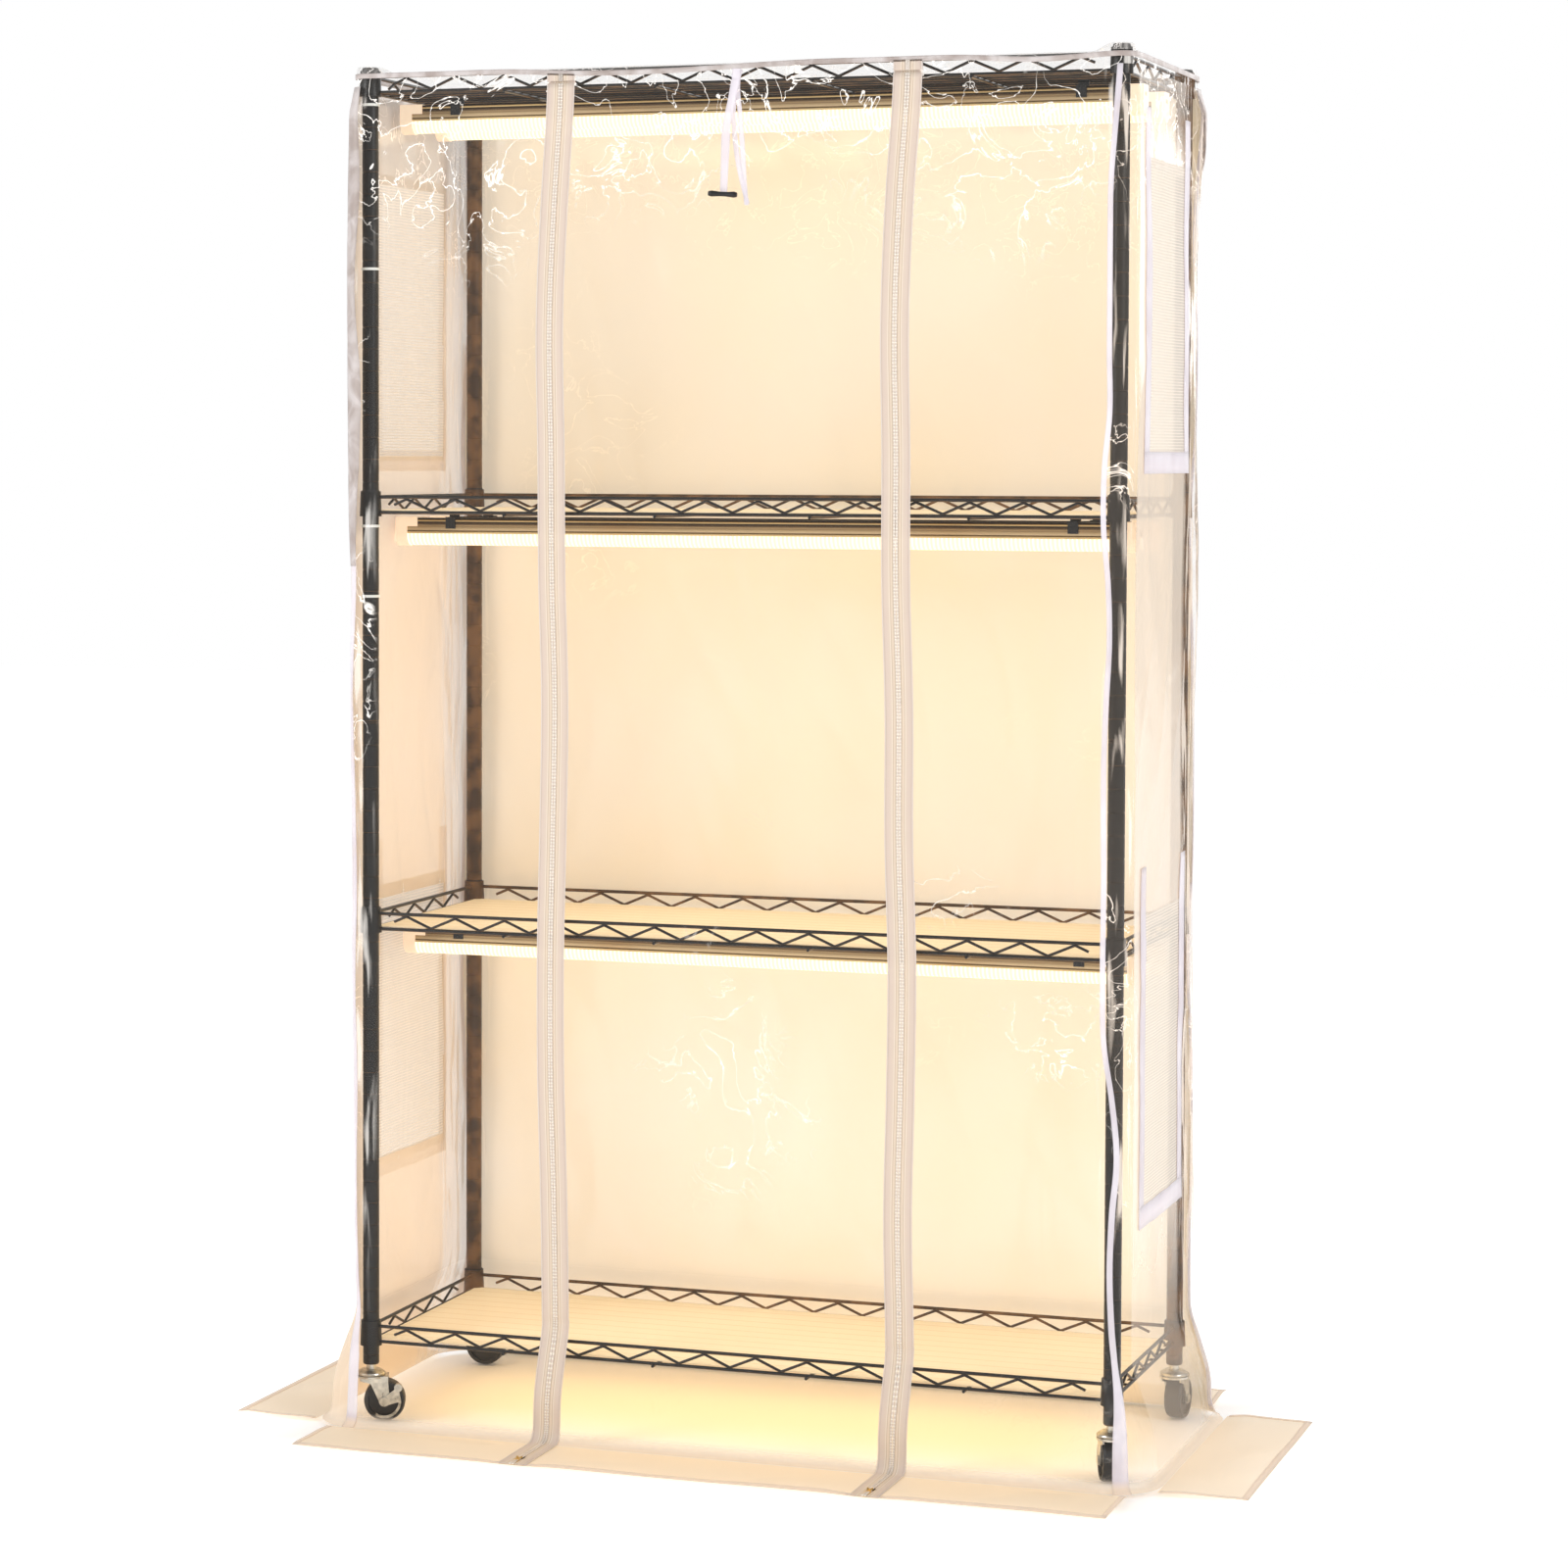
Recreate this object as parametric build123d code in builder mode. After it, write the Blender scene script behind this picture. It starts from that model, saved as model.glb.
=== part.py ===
from build123d import *
import os
from math import asin, copysign, cos, degrees, hypot, radians, sin

# A plant stand: four wire shelves on four grooved posts with casters, two light bars under
# each of the three upper shelves, and a clear film cover with a zipped door and a skirt that
# lies on the floor. Millimetres, +Z up, origin on the floor under the middle of the stand,
# front towards -Y. Shelves are named from the bottom: bottom, lower, upper, top.

os.makedirs("parts", exist_ok=True)

# Driving dimensions of the rack
post_span_x = 880.0
post_span_y = 322.0
post_d = 19.0
post_length = 1500.0
caster_height = 66.0
groove_pitch = 25.4
shelf_grooves = {"bottom": 1, "lower": 20, "upper": 39, "top": 58}
rod_d = 4.0
truss_height = 17.8
zigzag_pitch = 60.8
deck_gaps = 12
collar_od = 25.5
collar_height = 29.0
fit_clearance = 0.03
running_clearance = 0.05
seat_gap = 0.3
overrun = 2.0

# Driving dimensions of the cover
film = 0.6
cover_gap = 3.0
skirt_reach = 141.0
flare_reach = 28.5
flare_height = 72.0
flare_foot = 52.0
flare_lean = 0.5
flare_bend_r = 60.0
knee_bend_r = 25.0
floor_bend_r = 12.0
wall_top = 1546.0
binding_w = 10.0
tape_thickness = 0.8
zip_half_w = 16.5

# Worked out from the above
post_r = post_d / 2
post_x = post_span_x / 2
post_y = post_span_y / 2
post_places = {
    "front_left": (-post_x, -post_y),
    "front_right": (post_x, -post_y),
    "rear_left": (-post_x, post_y),
    "rear_right": (post_x, post_y),
}
post_top = caster_height + post_length
cover_x = post_x + collar_od / 2 + cover_gap
cover_y = post_y + collar_od / 2 + cover_gap
up = Vector(0, 0, 1)


def save(part, name):
    """Labels one finished piece and writes it to its own file."""
    part.label = name
    export_step(part, f"parts/{name}.step")


def group(parts):
    """Puts like pieces together as separate solids of one node."""
    return Compound(children=list(parts))


# Posts: a steel tube with a ring groove every inch, a plastic cap on top and a threaded
# insert in the bottom end that takes the caster's stem.
post_wall = 1.2
post_end_taper = 1.6
groove_start = 11.1
groove_depth = 0.4
groove_width = 1.6
post_joint = 816.0
spigot_length = 18.0
cap_height = 2.5
cap_plug = 12.0
insert_length = 26.0
stem_r = 4.0

groove_count = int((post_length - groove_start - groove_width) // groove_pitch) + 1


def groove_z(index):
    return caster_height + groove_start + index * groove_pitch


def make_post_half(bottom, top, spigot):
    """A grooved tube. The lower half carries a spigot that the upper half slides down on."""
    bore_r = post_r - post_wall
    outline = [(bore_r, bottom), (post_r - post_end_taper / 2, bottom), (post_r, bottom + post_end_taper)]
    for index in range(groove_count):
        middle = groove_z(index)
        if bottom + post_end_taper < middle - groove_width < middle + groove_width < top:
            groove_r = post_r - groove_depth
            outline += [(post_r, middle - groove_width / 2), (groove_r, middle - groove_width / 4)]
            outline += [(groove_r, middle + groove_width / 4), (post_r, middle + groove_width / 2)]
    outline.append((post_r, top))
    inner_r = bore_r
    if spigot:
        outer_r, inner_r = bore_r - fit_clearance, bore_r - post_wall
        outline += [(outer_r, top), (outer_r, top + spigot), (inner_r, top + spigot)]
        outline += [(inner_r, top - spigot), (bore_r, top - spigot)]
    else:
        outline.append((bore_r, top))
    with BuildPart() as post:
        with BuildSketch(Plane.XZ):
            with BuildLine():
                Polyline(*outline, close=True)
            make_face()
        revolve(axis=Axis.Z)
    return post.part


def make_post_cap():
    with BuildPart() as cap:
        with BuildSketch(Plane.XY.offset(post_top - cap_plug)):
            Circle(post_r - post_wall - fit_clearance)
        extrude(amount=cap_plug)
        with BuildSketch(Plane.XY.offset(post_top)):
            Circle(post_r)
        extrude(amount=cap_height)
        fillet(cap.faces().sort_by(Axis.Z)[-1].edges(), radius=cap_height / 2)
    return cap.part


def make_insert():
    with BuildPart() as insert:
        with BuildSketch(Plane.XY.offset(caster_height)):
            Circle(post_r - post_wall - fit_clearance)
            Circle(stem_r + fit_clearance, mode=Mode.SUBTRACT)
        extrude(amount=insert_length)
    return insert.part


def at_posts(part):
    return [part.moved(Location((x, y, 0))) for x, y in post_places.values()]


save(group(at_posts(make_post_half(caster_height, post_joint, spigot_length))), "posts_lower")
save(group(at_posts(make_post_half(post_joint, post_top, 0))), "posts_upper")
save(group(at_posts(make_post_cap())), "post_caps")
save(group(at_posts(make_insert())), "post_inserts")

# Plastic rings that the maker left on one post.
ring_heights = (961.0, 1042.0, 1338.0, 1526.0)
ring_wall = 1.2
ring_h = 3.0


def make_post_ring():
    with BuildPart() as ring:
        with BuildSketch():
            Circle(post_r + fit_clearance + ring_wall)
            Circle(post_r + fit_clearance, mode=Mode.SUBTRACT)
        extrude(amount=ring_h)
    return ring.part


ring = make_post_ring()
ring_x, ring_y = post_places["front_left"]
save(group(ring.moved(Location((ring_x, ring_y, z - ring_h / 2))) for z in ring_heights), "post_rings")

# Shelves: one welded piece each. Rims of two rods with a zigzag wire between them join four
# tapered collars. The deck wires run lengthwise, level with the lower rod, on cross wires.
zigzag_d = 3.2
zigzag_bend_r = 3.5
weld = 1.2
deck_wire_d = 3.0
cross_wire_d = 3.5
cross_nub = 2.0
cross_wire_steps = (-9, -3, 3, 9)
collar_drop = 4.5
collar_wall = 1.5
collar_taper = 1.0
sleeve_rise = 1.2
sleeve_split = 1.0
sleeve_gap = 0.15
sleeve_rings = 5
sleeve_ring_w = 0.4
sleeve_ring_depth = 0.15
sleeve_rib = 0.3
liner_thickness = 1.0
liner_inset = 5.0
lined_shelves = ("bottom", "lower", "upper")
sleeve_levels = {"lower": ("bottom", "lower"), "upper": ("upper", "top")}

rod_r = rod_d / 2
deck_pitch = post_span_y / deck_gaps
deck_wire_z = rod_r - deck_wire_d / 2
collar_bottom = -collar_drop
collar_middle = collar_bottom + collar_height / 2
collar_bore_top = collar_od / 2 - collar_wall - collar_taper
collar_bore_bottom = collar_od / 2 - collar_wall
shelf_z = {name: groove_z(index) - collar_middle for name, index in shelf_grooves.items()}


def zigzag_points(span):
    """Corners of a rim's zigzag wire from its middle: along the rim, height over the lower rod."""
    low = rod_r + zigzag_d / 2 - weld
    high = truss_height - low
    peaks = int((span / 2 - collar_od / 2 + zigzag_pitch / 4) // zigzag_pitch)
    steps = range(1 - 2 * peaks, 2 * peaks)
    points = [(step * zigzag_pitch / 2, high if step % 2 else low) for step in steps]
    end = (2 * peaks - 1) * zigzag_pitch / 2 + zigzag_pitch / 4
    middle = (low + high) / 2
    return [(-end, middle)] + points + [(end, middle)]


def shelf_wires():
    """Start, end and diameter of every straight wire of a shelf."""
    rod_x = post_x - collar_bore_bottom - collar_wall / 2
    rod_y = post_y - collar_bore_bottom - collar_wall / 2
    wires = []
    for side in (-1, 1):
        for level in (0, truss_height):
            wires.append(((-rod_x, side * post_y, level), (rod_x, side * post_y, level), rod_d))
            wires.append(((side * post_x, -rod_y, level), (side * post_x, rod_y, level), rod_d))
    for gap in range(1, deck_gaps):
        y = -post_y + gap * deck_pitch
        wires.append(((-post_x, y, deck_wire_z), (post_x, y, deck_wire_z), deck_wire_d))
    cross_z = deck_wire_z - deck_wire_d / 2 - cross_wire_d / 2 + weld / 4
    cross_y = post_y + rod_r + cross_nub
    for step in cross_wire_steps:
        x = step * zigzag_pitch / 2
        wires.append(((x, -cross_y, cross_z), (x, cross_y, cross_z), cross_wire_d))
    return wires


def make_shelf():
    top = collar_bottom + collar_height
    rims = [(Plane.XZ.offset(side * post_y), post_span_x) for side in (-1, 1)]
    rims += [(Plane.YZ.offset(side * post_x), post_span_y) for side in (-1, 1)]
    with BuildPart() as shelf:
        for start, end, diameter in shelf_wires():
            run = Vector(*end) - Vector(*start)
            with BuildSketch(Plane(origin=start, z_dir=run)):
                Circle(diameter / 2)
            extrude(amount=run.length)
        for x, y in post_places.values():
            with BuildSketch(Plane(origin=(x, y, 0), x_dir=(1, 0, 0), z_dir=(0, -1, 0))):
                with BuildLine():
                    Polyline(
                        (collar_bore_bottom, collar_bottom),
                        (collar_od / 2, collar_bottom),
                        (collar_od / 2 - collar_taper, top),
                        (collar_bore_top, top),
                        close=True,
                    )
                make_face()
            revolve(axis=Axis((x, y, 0), (0, 0, 1)))
        for plane, span in rims:
            with BuildLine(plane) as path:
                FilletPolyline(*zigzag_points(span), radius=zigzag_bend_r)
            with BuildSketch(Plane(origin=path.line @ 0, z_dir=path.line % 0)):
                Circle(zigzag_d / 2)
            sweep(path=path.line)
    return shelf.part


def taper_x(z):
    """The radius of a sleeve's outside at a height over its shelf's middle."""
    share = (z - collar_bottom) / collar_height
    return collar_bore_bottom - share * (collar_bore_bottom - collar_bore_top) - sleeve_gap


def make_sleeve_halves():
    """Two plastic half cones between post and collar, with a rib in the post's groove and
    fine rings round the outside."""
    inner = post_r + fit_clearance
    rib = inner - sleeve_rib
    rib_half = groove_width / 4
    top = collar_bottom + collar_height
    rings = []
    for index in range(1, sleeve_rings + 1):
        z = collar_bottom + index * collar_height / (sleeve_rings + 1)
        for height, depth in ((-sleeve_ring_w / 2, 0), (0, sleeve_ring_depth), (sleeve_ring_w / 2, 0)):
            rings.append((taper_x(z + height) - depth, z + height))
    with BuildPart() as sleeve:
        with BuildSketch(Plane.XZ):
            with BuildLine():
                Polyline(
                    (inner, collar_bottom),
                    (taper_x(collar_bottom), collar_bottom),
                    *rings,
                    (taper_x(top), top),
                    (taper_x(top), top + sleeve_rise),
                    (inner, top + sleeve_rise),
                    (inner, collar_middle + rib_half),
                    (rib, collar_middle + rib_half),
                    (rib, collar_middle - rib_half),
                    (inner, collar_middle - rib_half),
                    close=True,
                )
            make_face()
        revolve(axis=Axis.Z)
        with BuildSketch(Plane.XY.offset(collar_bottom)):
            Rectangle(collar_od, sleeve_split)
        extrude(amount=collar_height + sleeve_rise, mode=Mode.SUBTRACT)
    return sleeve.part.solids()


def make_liner():
    """A frosted plastic sheet that lies on the deck wires inside the rims."""
    with BuildPart() as liner:
        with BuildSketch(Plane.XY.offset(rod_r)):
            Rectangle(post_span_x - 2 * liner_inset, post_span_y - 2 * liner_inset)
            with Locations(*post_places.values()):
                Circle(collar_od / 2 + seat_gap, mode=Mode.SUBTRACT)
        extrude(amount=liner_thickness)
    return liner.part


shelf = make_shelf()
sleeve_halves = make_sleeve_halves()
liner = make_liner()
for name, z in shelf_z.items():
    save(shelf.moved(Location((0, 0, z))), f"shelf_{name}")
for part_name, levels in sleeve_levels.items():
    spots = [Location((x, y, shelf_z[name])) for name in levels for x, y in post_places.values()]
    save(group(half.moved(spot) for spot in spots for half in sleeve_halves), f"shelf_sleeves_{part_name}")
save(group(liner.moved(Location((0, 0, shelf_z[name]))) for name in lined_shelves), "shelf_liners")

# Casters: a stem with the upper bearing race, a stamped fork that swivels under it, a
# riveted axle, a solid wheel, and on the front pair a side lever that locks the wheel.
# Built with the swivel axis at the origin and the wheel trailing towards +X.
wheel_r = 24.0
wheel_width = 20.0
wheel_recess = 3.0
wheel_rim = 5.0
hub_r = 8.0
hub_side_gap = 0.2
axle_r = 3.0
trail = 16.0
fork_sheet = 1.8
fork_crown_r = 16.8
fork_top_z = 52.9
race_gap = 0.7
race_r = 17.0
race_height = 6.2
neck_r = 5.6
kingpin_r = 4.5
kingpin_head_r = 7.0
kingpin_head = 1.5
fork_foot_r = 6.5
fork_shoulder = 3.2
rivet_head_r = 5.0
rivet_head = 1.2
lever_sheet = 1.5
lever_ring_r = 19.5
lever_ring_w = 3.0
lever_eye_r = 5.5
pedal_reach = 23.5
pedal_rise = 46.0
pedal_r = 4.7
pedal_depth = 6.0
caster_turn = {"front_left": 20.0, "front_right": 112.0, "rear_left": 5.0, "rear_right": 85.0}
braked = ("front_left", "front_right")

leg_inner = wheel_width / 2 + hub_side_gap
leg_outer = leg_inner + fork_sheet
crown_bottom = fork_top_z - fork_sheet - race_gap
stem_top = caster_height + insert_length


def make_stem():
    race_bottom = fork_top_z + race_gap
    race_top = race_bottom + race_height
    head_top = crown_bottom - seat_gap
    with BuildPart() as stem:
        with BuildSketch(Plane.XZ):
            with BuildLine():
                Polyline(
                    (0, head_top - kingpin_head),
                    (kingpin_head_r, head_top - kingpin_head),
                    (kingpin_head_r, head_top),
                    (kingpin_r, head_top),
                    (kingpin_r, race_bottom),
                    (race_r - race_gap, race_bottom),
                    (race_r, race_bottom + race_height / 4),
                    (race_r - race_gap, race_bottom + race_height / 2),
                    (race_r * 2 / 3, race_top),
                    (neck_r, race_top),
                    (neck_r, caster_height),
                    (stem_r, caster_height),
                    (stem_r, stem_top),
                    (0, stem_top),
                    close=True,
                )
            make_face()
        revolve(axis=Axis.Z)
    return stem.part


def make_fork():
    crown_height = fork_top_z - crown_bottom
    shoulder = crown_bottom - fork_shoulder
    with BuildPart() as fork:
        with BuildSketch(Plane.XY.offset(crown_bottom)):
            Circle(fork_crown_r)
            with Locations((trail / 4, 0)):
                Rectangle(fork_crown_r + trail, 2 * leg_outer)
            Circle(kingpin_r + running_clearance, mode=Mode.SUBTRACT)
        extrude(amount=crown_height)
        for side in (-1, 1):
            with BuildSketch(Plane.XZ.offset(side * (leg_inner + leg_outer) / 2)):
                with BuildLine():
                    Polyline(
                        (trail / 4 - (fork_crown_r + trail) / 2, crown_bottom + crown_height / 2),
                        (trail / 4 - (fork_crown_r + trail) / 2, shoulder),
                        (0, shoulder - fork_shoulder),
                        (trail - fork_foot_r, wheel_r),
                        (trail + fork_foot_r, wheel_r),
                        (trail / 4 + (fork_crown_r + trail) / 2, shoulder - fork_shoulder),
                        (trail / 4 + (fork_crown_r + trail) / 2, crown_bottom + crown_height / 2),
                        close=True,
                    )
                make_face()
                with Locations((trail, wheel_r)):
                    Circle(fork_foot_r)
                    Circle(axle_r + fit_clearance, mode=Mode.SUBTRACT)
            extrude(amount=fork_sheet / 2, both=True)
    return fork.part


def make_axle(lever_side):
    """The axle's lever side stands out far enough to carry the lever plate."""
    outer = leg_outer + seat_gap
    near = outer + lever_side * (lever_sheet + seat_gap)
    with BuildPart() as axle:
        with BuildSketch(Plane(origin=(trail, -near, wheel_r), z_dir=(0, 1, 0))):
            Circle(axle_r)
        extrude(amount=near + outer)
        for y, turn in ((-near, -1), (outer, 1)):
            with BuildSketch(Plane(origin=(trail, y, wheel_r), z_dir=(0, turn, 0))):
                Circle(rivet_head_r)
            extrude(amount=rivet_head)
    return axle.part


def make_wheel():
    half = wheel_width / 2
    bore_r = axle_r + running_clearance
    recess_r = wheel_r - wheel_rim
    with BuildPart() as wheel:
        with BuildSketch(Plane(origin=(trail, 0, wheel_r), x_dir=(1, 0, 0), z_dir=(0, 0, 1))):
            with BuildLine():
                Polyline(
                    (bore_r, -half),
                    (hub_r, -half),
                    (hub_r, -half + wheel_recess),
                    (recess_r, -half + wheel_recess),
                    (recess_r, -half),
                    (wheel_r - wheel_recess / 2, -half),
                    (wheel_r, -half + wheel_recess),
                    (wheel_r, half - wheel_recess),
                    (wheel_r - wheel_recess / 2, half),
                    (recess_r, half),
                    (recess_r, half - wheel_recess),
                    (hub_r, half - wheel_recess),
                    (hub_r, half),
                    (bore_r, half),
                    close=True,
                )
            make_face()
        revolve(axis=Axis((trail, 0, wheel_r), (0, 1, 0)))
    return wheel.part


def make_brake_lever():
    plate_y = -(leg_outer + seat_gap)
    rise = radians(pedal_rise)
    pedal = (pedal_reach * cos(rise), pedal_reach * sin(rise))
    with BuildPart() as lever:
        with BuildSketch(Plane(origin=(trail, plate_y, wheel_r), x_dir=(1, 0, 0), z_dir=(0, -1, 0))):
            Circle(lever_ring_r)
            Circle(lever_ring_r - lever_ring_w, mode=Mode.SUBTRACT)
            with Locations((-lever_ring_r / 2, lever_ring_r / 2)):
                Rectangle(3 * lever_ring_r, lever_ring_r, mode=Mode.SUBTRACT)
            with Locations((-lever_ring_r, -lever_ring_r / 2)):
                Rectangle(lever_ring_r, lever_ring_r, mode=Mode.SUBTRACT)
            Circle(lever_eye_r)
            with Locations(pedal):
                Circle(pedal_r)
            with BuildLine():
                Polyline((0, lever_eye_r), pedal, (lever_ring_r, 0), (0, -lever_eye_r), close=True)
            make_face()
            Circle(axle_r + running_clearance, mode=Mode.SUBTRACT)
        extrude(amount=lever_sheet)
        pedal_at = (trail + pedal[0], plate_y - lever_sheet, wheel_r + pedal[1])
        with BuildSketch(Plane(origin=pedal_at, x_dir=(1, 0, 0), z_dir=(0, -1, 0))):
            Circle(pedal_r)
        extrude(amount=pedal_depth - lever_sheet)
    return lever.part


stem, fork, wheel, brake_lever = make_stem(), make_fork(), make_wheel(), make_brake_lever()
axles = {True: make_axle(1), False: make_axle(0)}
save(group(at_posts(stem)), "caster_stems")
for place, (x, y) in post_places.items():
    spot = Location((x, y, 0), (0, 0, caster_turn[place]))
    save(fork.moved(spot), f"caster_fork_{place}")
    save(axles[place in braked].moved(spot), f"caster_axle_{place}")
    save(wheel.moved(spot), f"caster_wheel_{place}")
    if place in braked:
        save(brake_lever.moved(spot), f"brake_lever_{place}")
    turn = radians(caster_turn[place])
    print("wheel axle", place, x + trail * cos(turn), y + trail * sin(turn), wheel_r)
    print("its direction", -sin(turn), cos(turn))

# Light bars: an aluminium channel with a half-round diffuser under it, an LED board inside,
# moulded end caps with a socket, and snap clips that hang the bar from a deck wire.
bar_length = 886.0
bar_shift = {"lower": 4.0, "upper": -6.0, "top": 0.0}
bar_drop = 7.4
housing_w = 25.0
housing_h = 18.2
housing_wall = 1.3
housing_groove = 1.0
housing_groove_drop = 11.0
diffuser_w = 23.0
diffuser_h = 13.9
diffuser_wall = 1.2
board_thickness = 1.4
board_w = 16.0
cap_short = 15.0
cap_long = 28.0
cap_wall = 1.0
end_plate = 3.0
socket_w = 12.0
socket_h = 5.0
socket_depth = 8.0
clip_w = 12.0
clip_inset = 70.0
clip_wall = 1.3

bar_y = 2 * deck_pitch
bar_top = -bar_drop
housing_bottom = bar_top - housing_h
bar_bottom = housing_bottom - diffuser_h
bar_end = bar_length / 2


def bar_plane(x):
    """A plane across the bar at x, facing +X, with the bar's own middle as origin."""
    return Plane(origin=(x, 0, 0), x_dir=(0, 1, 0), z_dir=(1, 0, 0))


def make_housing():
    inner = bar_end - end_plate
    half = housing_w / 2
    groove_z_mid = bar_top - housing_groove_drop
    with BuildPart() as housing:
        with BuildSketch(bar_plane(-inner)):
            with Locations((0, bar_top - housing_h / 2)):
                Rectangle(housing_w, housing_h)
                Rectangle(housing_w - 2 * housing_wall, housing_h - 2 * housing_wall, mode=Mode.SUBTRACT)
            for side in (-1, 1):
                with Locations((side * half, groove_z_mid)):
                    Rectangle(housing_groove, housing_groove, mode=Mode.SUBTRACT)
        extrude(amount=2 * inner)
    return housing.part


def half_round(width, height, top):
    """A half ellipse below a flat top."""
    with BuildSketch() as shape:
        with BuildLine():
            arc = EllipticalCenterArc((0, top), width / 2, height, start_angle=180, arc_size=180)
            Line(arc @ 0, arc @ 1)
        make_face()
    return shape.sketch


def make_diffuser():
    inner = bar_end - end_plate
    with BuildPart() as diffuser:
        with BuildSketch(bar_plane(-inner)):
            add(half_round(diffuser_w, diffuser_h, housing_bottom))
        extrude(amount=2 * inner)
        with BuildSketch(bar_plane(-inner)):
            add(half_round(diffuser_w - 2 * diffuser_wall, diffuser_h - diffuser_wall, housing_bottom))
        extrude(amount=2 * inner, mode=Mode.SUBTRACT)
    return diffuser.part


def make_led_board():
    inner = bar_end - cap_short
    with BuildPart() as board:
        with BuildSketch(bar_plane(-inner)):
            with Locations((0, housing_bottom - board_thickness / 2)):
                Rectangle(board_w, board_thickness)
        extrude(amount=2 * inner)
    return board.part


def make_end_cap(side):
    """side is -1 for the left end and 1 for the right end."""
    outer_w = housing_w + 2 * cap_wall
    room = fit_clearance
    with BuildPart() as cap:
        with BuildSketch(bar_plane(side * bar_end)):
            with Locations((0, bar_top - housing_h / 2 + cap_wall / 2)):
                Rectangle(outer_w, housing_h + cap_wall)
            add(half_round(outer_w, diffuser_h + cap_wall, housing_bottom))
        extrude(amount=-side * cap_short)
        with BuildSketch(bar_plane(side * bar_end)):
            with Locations((0, bar_top + cap_wall - housing_groove_drop / 2)):
                Rectangle(outer_w, housing_groove_drop)
        extrude(amount=-side * cap_long)
        with BuildSketch(bar_plane(side * (bar_end - end_plate))):
            with Locations((0, bar_top - housing_h / 2)):
                Rectangle(housing_w + 2 * room, housing_h + 2 * room)
            add(half_round(diffuser_w + 2 * room, diffuser_h + room, housing_bottom))
        extrude(amount=-side * cap_long, mode=Mode.SUBTRACT)
        with BuildSketch(bar_plane(side * bar_end)):
            with Locations((0, bar_top - housing_h / 2)):
                Rectangle(socket_w, socket_h)
        extrude(amount=-side * socket_depth, mode=Mode.SUBTRACT)
    return cap.part


def make_clip():
    """A saddle over the housing's shoulders with jaws that snap on the deck wire above."""
    saddle_w = housing_w + 2 * fit_clearance
    jaw_r = deck_wire_d / 2 + running_clearance
    with BuildPart() as clip:
        with BuildSketch(bar_plane(-clip_w / 2)):
            with Locations((0, bar_top + fit_clearance + clip_wall / 2)):
                Rectangle(saddle_w + 2 * clip_wall, clip_wall)
            for side in (-1, 1):
                with Locations((side * (saddle_w + clip_wall) / 2, bar_top - housing_groove_drop / 2)):
                    Rectangle(clip_wall, housing_groove_drop + 2 * clip_wall)
            with Locations((0, (bar_top + clip_wall + deck_wire_z) / 2)):
                Rectangle(2 * clip_wall, deck_wire_z - bar_top - clip_wall)
            with Locations((0, deck_wire_z)):
                Circle(jaw_r + clip_wall)
                Circle(jaw_r, mode=Mode.SUBTRACT)
            with Locations((0, deck_wire_z + deck_wire_d / 3 + jaw_r)):
                Rectangle(2 * jaw_r + 2 * clip_wall, 2 * jaw_r, mode=Mode.SUBTRACT)
        extrude(amount=clip_w)
    return clip.part


housing, diffuser, led_board, clip = make_housing(), make_diffuser(), make_led_board(), make_clip()
end_caps = [make_end_cap(-1), make_end_cap(1)]
all_boards, all_caps, all_clips = [], [], []
for name, shift in bar_shift.items():
    spots = [Location((shift, side * bar_y, shelf_z[name])) for side in (-1, 1)]
    save(group(housing.moved(spot) for spot in spots), f"light_housings_{name}")
    save(group(diffuser.moved(spot) for spot in spots), f"light_diffusers_{name}")
    for spot in spots:
        all_boards.append(led_board.moved(spot))
        all_caps += [cap.moved(spot) for cap in end_caps]
        for side in (-1, 1):
            clip_x = side * (bar_end - clip_inset)
            all_clips.append(clip.moved(spot * Location((clip_x, 0, 0))))
save(group(all_boards), "led_boards")
save(group(all_caps), "light_end_caps")
save(group(all_clips), "light_clips")

# Cover: a film lid over the post caps with a short valance, film walls, and a skirt sewn to
# their lower edges that turns out over the floor. The front has a door between two zips.
roof_film = 0.8
roof_seat = seat_gap
roof_middle = 1562.3
roof_swell = 0.6
roof_edge = 1560.0
roof_sag_start = 50.0
collar_margin = 0.75
door_gap = 3.0
zip_x_left = -206.0
zip_x_right = 200.0
zip_wave = 8.0
zip_gap = 0.4
coil_w = 2.6
coil_rise = 0.9
# Each zip's line as shares of the door's height and of zip_wave
zip_left_shares = (
    (0, 0.3),
    (0.09, 0),
    (0.31, -0.6),
    (0.39, -0.2),
    (0.55, 0),
    (0.62, -0.4),
    (0.76, -0.6),
    (0.85, -0.9),
    (0.92, -0.2),
    (1, 0.8),
)
zip_right_shares = (
    (0, 0.5),
    (0.08, 0.1),
    (0.29, 0.5),
    (0.41, 0),
    (0.55, -0.1),
    (0.66, -0.6),
    (0.76, -0.7),
    (0.88, -1),
    (0.94, -0.4),
    (1, 0.7),
)
window_w = 224.0
window_h = 400.0
window_tape = 24.0
window_pelmet = 65.0
window_bottoms = (272.0, 1105.0)
mesh_lap = 6.0
skirt_side_lap = 14.0
hem_w = 8.0

skirt_top = flare_foot + flare_height + flare_bend_r / 4
door_top = wall_top - door_gap
post_cap_top = post_top + cap_height


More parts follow.
